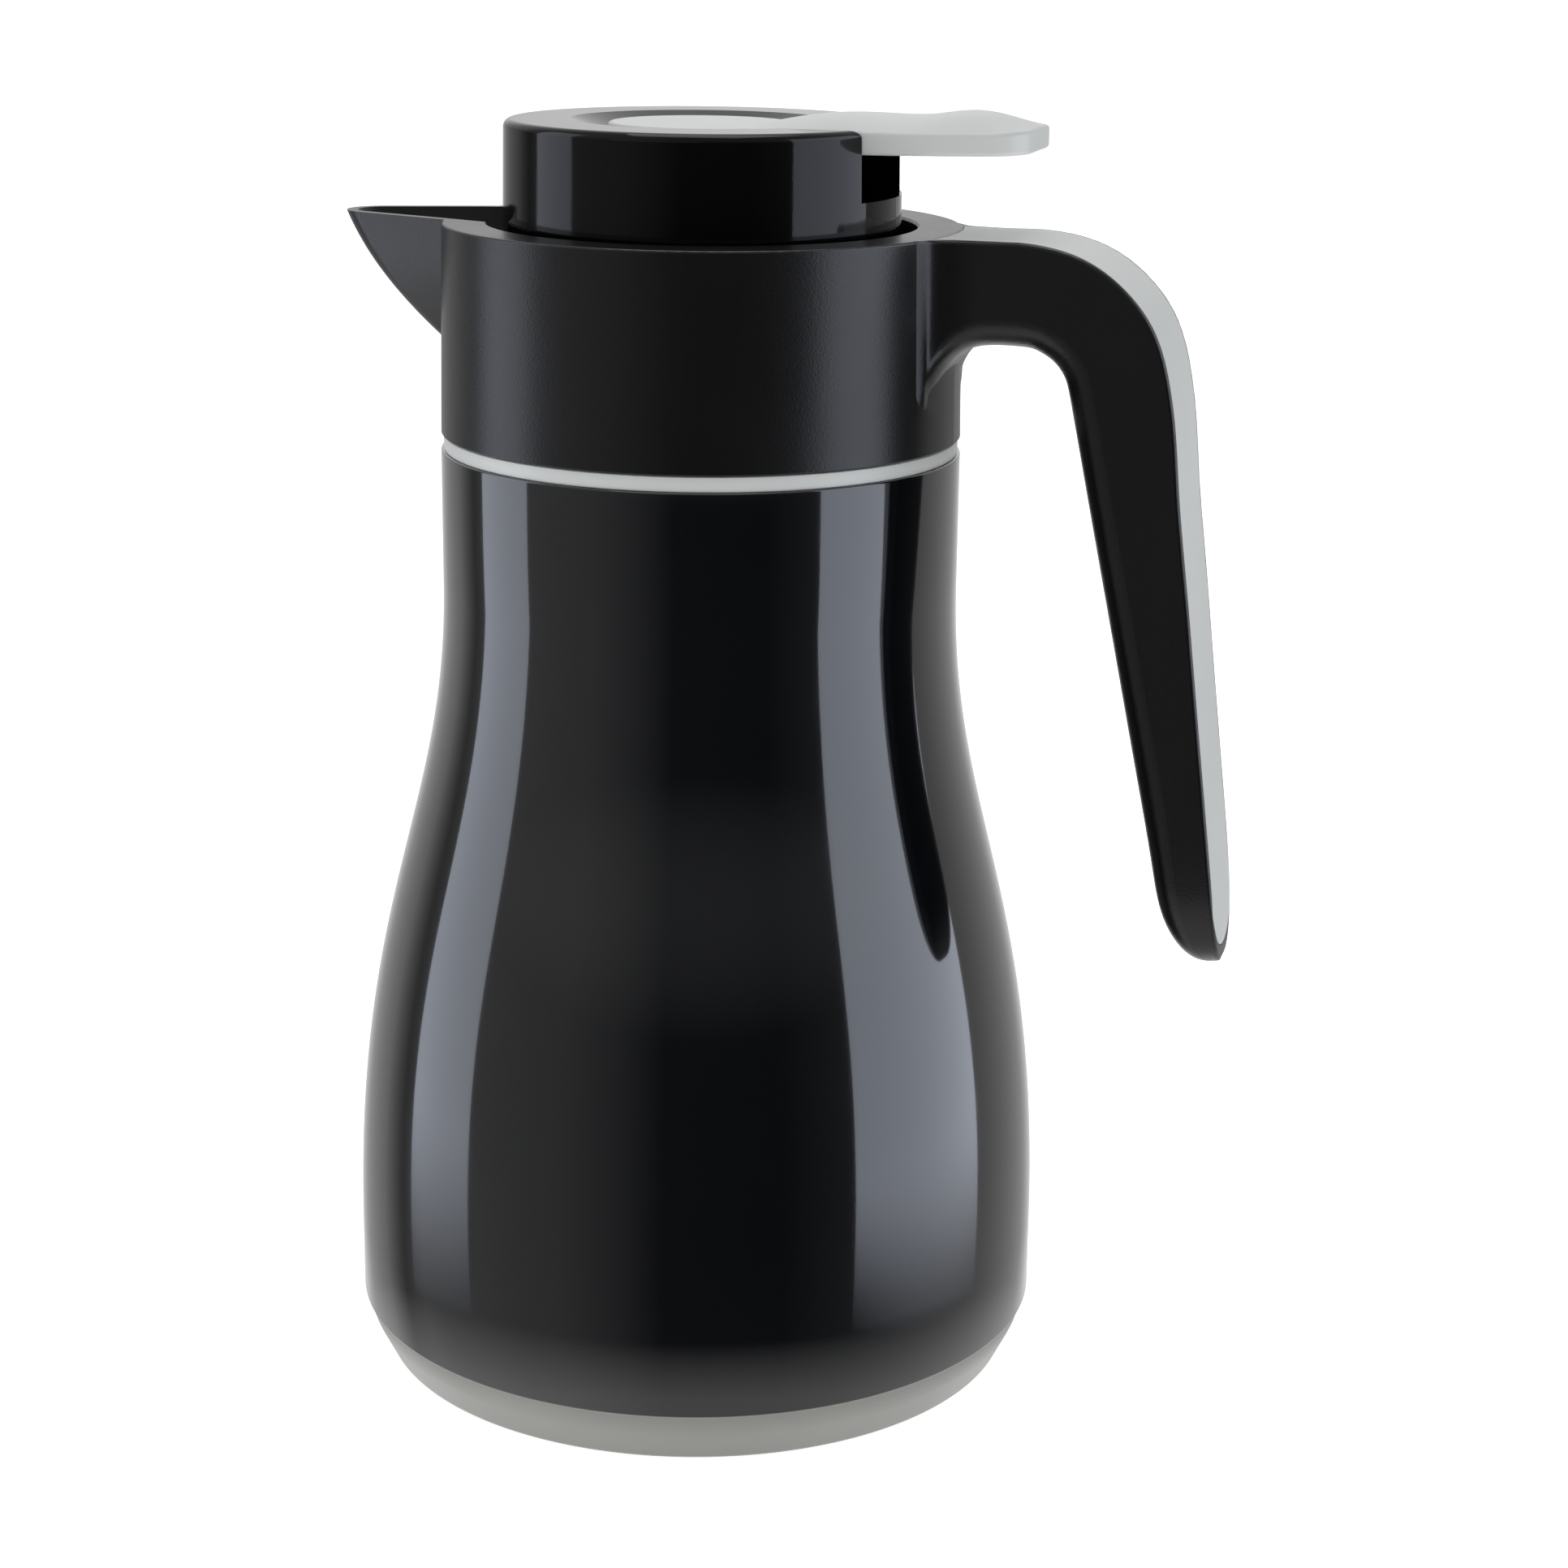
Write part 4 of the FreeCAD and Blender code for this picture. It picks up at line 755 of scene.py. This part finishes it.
@dataclass
class Studio:
    """Floor, lights and the camera at the photographed viewing angle.

    The focal length and the frame's side are in pixels of the photograph, the sensor in
    millimetres. The walls are pairs of an angle to the right of the viewer's direction, in
    degrees, and a brightness. The fades are heights of a direction on the unit sphere, between
    which the ground and the sky brighten.
    """

    turn: float = math.radians(15.7)
    focal: float = 3946.34
    frame_side: float = 1932.0
    sensor: float = 36.0
    near_clip: float = 10.0 * MM
    tilt: float = math.radians(15.768)
    roll: float = math.radians(0.734)
    eye: tuple[float, float, float] = (17.487 * MM, -637.077 * MM, 299.813 * MM)
    floor_size: float = 40.0
    floor_tone: float = 0.9
    floor_glow: float = 0.75
    softboxes: tuple[Softbox, ...] = (
        Softbox("left_softbox", side=-90.0, distance=0.55, width=0.28, bottom=-0.24, top=0.75,
                glow=1.64, fill=1.2),
        Softbox("right_softbox", side=79.0, distance=0.6, width=0.6, bottom=-0.28, top=0.75,
                glow=1.98, fill=0.8),
    )
    overhead_height: float = 1.1
    overhead_size: float = 0.7
    overhead_glow: float = 2.0
    ground: float = 0.6
    ground_fade: Point = (-0.44, -0.62)
    sky: float = 0.25
    sky_fade: Point = (0.05, 0.35)
    walls: tuple[Point, ...] = (
        (-180.0, 0.8), (-150.0, 0.42), (-130.0, 0.38), (-116.0, 0.11), (-104.0, 0.25),
        (-75.0, 0.3), (-45.0, 0.25), (-25.0, 0.14), (-10.0, 0.03), (30.0, 0.02),
        (55.0, 0.08), (100.0, 0.3), (125.0, 0.38), (150.0, 0.42), (180.0, 0.8),
    )

    def facing(self) -> Matrix:
        """Turn from the viewer's directions to the carafe's.

        Returns:
            The rotation about the upright axis.
        """
        return Matrix.Rotation(self.turn, 3, "Z")

    def add_camera(self) -> None:
        """Set up the camera."""
        facing = self.facing()
        right = Vector((1.0, 0.0, 0.0))
        ahead = Vector((0.0, math.cos(self.tilt), -math.sin(self.tilt)))
        up = Vector((0.0, math.sin(self.tilt), math.cos(self.tilt)))
        rolled_right = math.cos(self.roll) * right + math.sin(self.roll) * up
        rolled_up = math.cos(self.roll) * up - math.sin(self.roll) * right
        columns = [facing @ rolled_right, facing @ rolled_up, facing @ -ahead]
        data = bpy.data.cameras.new("camera")
        data.sensor_width = self.sensor
        data.lens = self.focal / self.frame_side * self.sensor
        data.clip_start = self.near_clip
        camera = bpy.data.objects.new("camera", data)
        matrix = Matrix(columns).transposed().to_4x4()
        matrix.translation = facing @ Vector(self.eye)
        camera.matrix_world = matrix
        bpy.context.scene.collection.objects.link(camera)
        bpy.context.scene.camera = camera

    def add_panel(self, box: Softbox, name: str, glow: float) -> bpy.types.Object:
        """Hang a panel that faces the carafe's axis and fades at its upper and lower ends.

        Args:
            box: the softbox that it belongs to.
            name: name of the panel.
            glow: brightness of its face.

        Returns:
            The lamp.
        """
        data = bpy.data.lights.new(name, "AREA")
        data.shape = "RECTANGLE"
        data.size, data.size_y = box.width, box.top - box.bottom
        data.energy = glow * math.pi * data.size * data.size_y
        data.use_nodes = True
        sheet = NodeSheet(data.node_tree)
        across = sheet.add("ShaderNodeSeparateXYZ")
        low = sheet.add("ShaderNodeMapRange", interpolation_type="SMOOTHSTEP", From_Max=box.fade)
        high = sheet.add("ShaderNodeMapRange", interpolation_type="SMOOTHSTEP", From_Min=1.0,
                         From_Max=1.0 - box.fade)
        both = sheet.add("ShaderNodeMath", operation="MULTIPLY")
        shine = sheet.add("ShaderNodeEmission")
        out = sheet.add("ShaderNodeOutputLight")
        face = sheet.add("ShaderNodeNewGeometry")
        sheet.link(face.outputs["Parametric"], across.inputs["Vector"])
        sheet.link(across.outputs["Y"], low.inputs["Value"])
        sheet.link(across.outputs["Y"], high.inputs["Value"])
        sheet.link(low.outputs["Result"], both.inputs[0])
        sheet.link(high.outputs["Result"], both.inputs[1])
        sheet.link(both.outputs["Value"], shine.inputs["Strength"])
        sheet.link(shine.outputs["Emission"], out.inputs["Surface"])
        lamp = bpy.data.objects.new(name, data)
        angle = math.radians(box.side)
        place = self.facing() @ Vector((math.sin(angle) * box.distance,
                                        -math.cos(angle) * box.distance,
                                        (box.bottom + box.top) / 2.0))
        aim = Vector((-place.x, -place.y, 0.0)).to_track_quat("-Z", "Y")
        lamp.matrix_world = Matrix.Translation(place) @ aim.to_matrix().to_4x4()
        bpy.context.scene.collection.objects.link(lamp)
        return lamp

    def add_softbox(self, box: Softbox) -> None:
        """Hang a softbox as one panel for reflections and one for the light that it casts.

        Args:
            box: the softbox.
        """
        shine = self.add_panel(box, box.name + "_shine", box.glow)
        shine.visible_diffuse = False
        shine.data.color = box.tint
        fill = self.add_panel(box, box.name + "_fill", box.fill)
        fill.visible_glossy = False

    def add_overhead(self) -> None:
        """Hang a soft square light over the carafe."""
        data = bpy.data.lights.new("top_light", "AREA")
        data.shape = "SQUARE"
        data.size = self.overhead_size
        data.energy = self.overhead_glow * math.pi * self.overhead_size ** 2
        lamp = bpy.data.objects.new("top_light", data)
        lamp.location = (0.0, 0.0, self.overhead_height)
        bpy.context.scene.collection.objects.link(lamp)

    def set_walls(self, ramp: bpy.types.ColorRamp) -> None:
        """Lay the walls' brightness round a ramp that runs once about the carafe.

        Args:
            ramp: a new ramp, with a stop at each end.
        """
        first, *between, last = self.walls
        stops = [(ramp.elements[0], first[1]), (ramp.elements[1], last[1])]
        for stop, glow in stops:
            stop.color = (glow, glow, glow, 1.0)
        for angle, glow in between:
            stop = ramp.elements.new((angle + HALF_TURN) / FULL_TURN)
            stop.color = (glow, glow, glow, 1.0)

    def add_world(self) -> None:
        """Room with uneven walls round the carafe, over a pale ground, behind a white backdrop."""
        world = bpy.data.worlds.new("room")
        bpy.context.scene.world = world
        world.use_nodes = True
        sheet = NodeSheet(world.node_tree)
        compass = sheet.add("ShaderNodeTexCoord")
        turned = sheet.add("ShaderNodeVectorRotate", rotation_type="Z_AXIS", Angle=-self.turn)
        split = sheet.add("ShaderNodeSeparateXYZ")
        ahead = sheet.add("ShaderNodeMath", operation="MULTIPLY")
        ahead.inputs[1].default_value = -1.0
        side = sheet.add("ShaderNodeMath", operation="ARCTAN2")
        spread = sheet.add("ShaderNodeMapRange", From_Min=-math.pi, From_Max=math.pi)
        walls = sheet.add("ShaderNodeValToRGB")
        self.set_walls(walls.color_ramp)
        ground = sheet.add("ShaderNodeMapRange", From_Min=self.ground_fade[0],
                           From_Max=self.ground_fade[1], To_Max=self.ground)
        sky = sheet.add("ShaderNodeMapRange", From_Min=self.sky_fade[0],
                        From_Max=self.sky_fade[1], To_Max=self.sky)
        lower = sheet.add("ShaderNodeMath", operation="ADD")
        total = sheet.add("ShaderNodeMath", operation="ADD")
        ray = sheet.add("ShaderNodeLightPath")
        backdrop = sheet.add("ShaderNodeMix", data_type="FLOAT", B=1.0)
        back = sheet.add("ShaderNodeBackground", Color=WHITE)
        out = sheet.add("ShaderNodeOutputWorld")
        sheet.link(compass.outputs["Generated"], turned.inputs["Vector"])
        sheet.link(turned.outputs["Vector"], split.inputs["Vector"])
        sheet.link(split.outputs["Y"], ahead.inputs[0])
        sheet.link(split.outputs["X"], side.inputs[0])
        sheet.link(ahead.outputs["Value"], side.inputs[1])
        sheet.link(side.outputs["Value"], spread.inputs["Value"])
        sheet.link(spread.outputs["Result"], walls.inputs["Fac"])
        sheet.link(split.outputs["Z"], ground.inputs["Value"])
        sheet.link(split.outputs["Z"], sky.inputs["Value"])
        sheet.link(walls.outputs["Color"], lower.inputs[0])
        sheet.link(ground.outputs["Result"], lower.inputs[1])
        sheet.link(lower.outputs["Value"], total.inputs[0])
        sheet.link(sky.outputs["Result"], total.inputs[1])
        sheet.link(ray.outputs["Is Camera Ray"], backdrop.inputs["Factor"])
        sheet.link(total.outputs["Value"], backdrop.inputs["A"])
        sheet.link(backdrop.outputs["Result"], back.inputs["Strength"])
        sheet.link(back.outputs["Background"], out.inputs["Surface"])

    def add_floor(self) -> None:
        """Plain pale floor, left out of reflections so that the lights show in them."""
        shape = bmesh.new()
        bmesh.ops.create_grid(shape, x_segments=1, y_segments=1, size=self.floor_size / 2.0)
        floor = link_mesh("floor", shape, HALF_TURN)
        floor.visible_glossy = False
        made = bpy.data.materials.new("floor_paper")
        made.use_nodes = True
        sheet = NodeSheet(made.node_tree)
        tone = (self.floor_tone, self.floor_tone, self.floor_tone, 1.0)
        paper = sheet.add("ShaderNodeBsdfPrincipled", Base_Color=tone, Roughness=1.0,
                          Emission_Color=WHITE, Emission_Strength=self.floor_glow)
        out = sheet.add("ShaderNodeOutputMaterial")
        sheet.link(paper.outputs["BSDF"], out.inputs["Surface"])
        floor.data.materials.append(made)

    def build(self) -> None:
        """Set up the whole studio."""
        bpy.context.scene.view_settings.view_transform = "Standard"
        self.add_camera()
        self.add_world()
        self.add_floor()
        for box in self.softboxes:
            self.add_softbox(box)
        self.add_overhead()


NODE_SLOTS: dict[Slot, tuple[str, ...]] = {
    Slot.LID: ("lid_cap",),
    Slot.COLLAR: ("collar",),
    Slot.TRIM: ("handle_inlay", "lever"),
    Slot.INNER: ("neck_insert", "stopper_body", "stem_cap", "valve_plate"),
    Slot.GLASS: ("glass_liner",),
    Slot.SEAL: ("base_seal", "liner_gasket", "liner_cushion", "stopper_gasket", "stem_seal",
                "valve_seal"),
    Slot.STEEL: ("lever_pin", "valve_stem", "valve_nut"),
}


def dress_nodes(palette: Palette) -> None:
    """Give every piece that stays as it is in the frame its finish.

    Args:
        palette: the finishes.
    """
    for slot, names in NODE_SLOTS.items():
        for name in names:
            palette.dress(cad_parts[name], slot)
            LOG.info("dressed %s as %s", name, slot.value)


def main() -> None:
    """Build the carafe's looks and the studio."""
    logging.basicConfig(level=logging.INFO, format="%(name)s: %(message)s")
    palette = Palette(FINISHES)
    dress_nodes(palette)
    for assembly in (Jacket(), Foot(), TrimRing(), ReturnSpring()):
        piece = assembly.build()
        assembly.dress(piece, palette)
        LOG.info("built %s", piece.name)
    Studio().build()


if __name__ == "__main__":
    main()
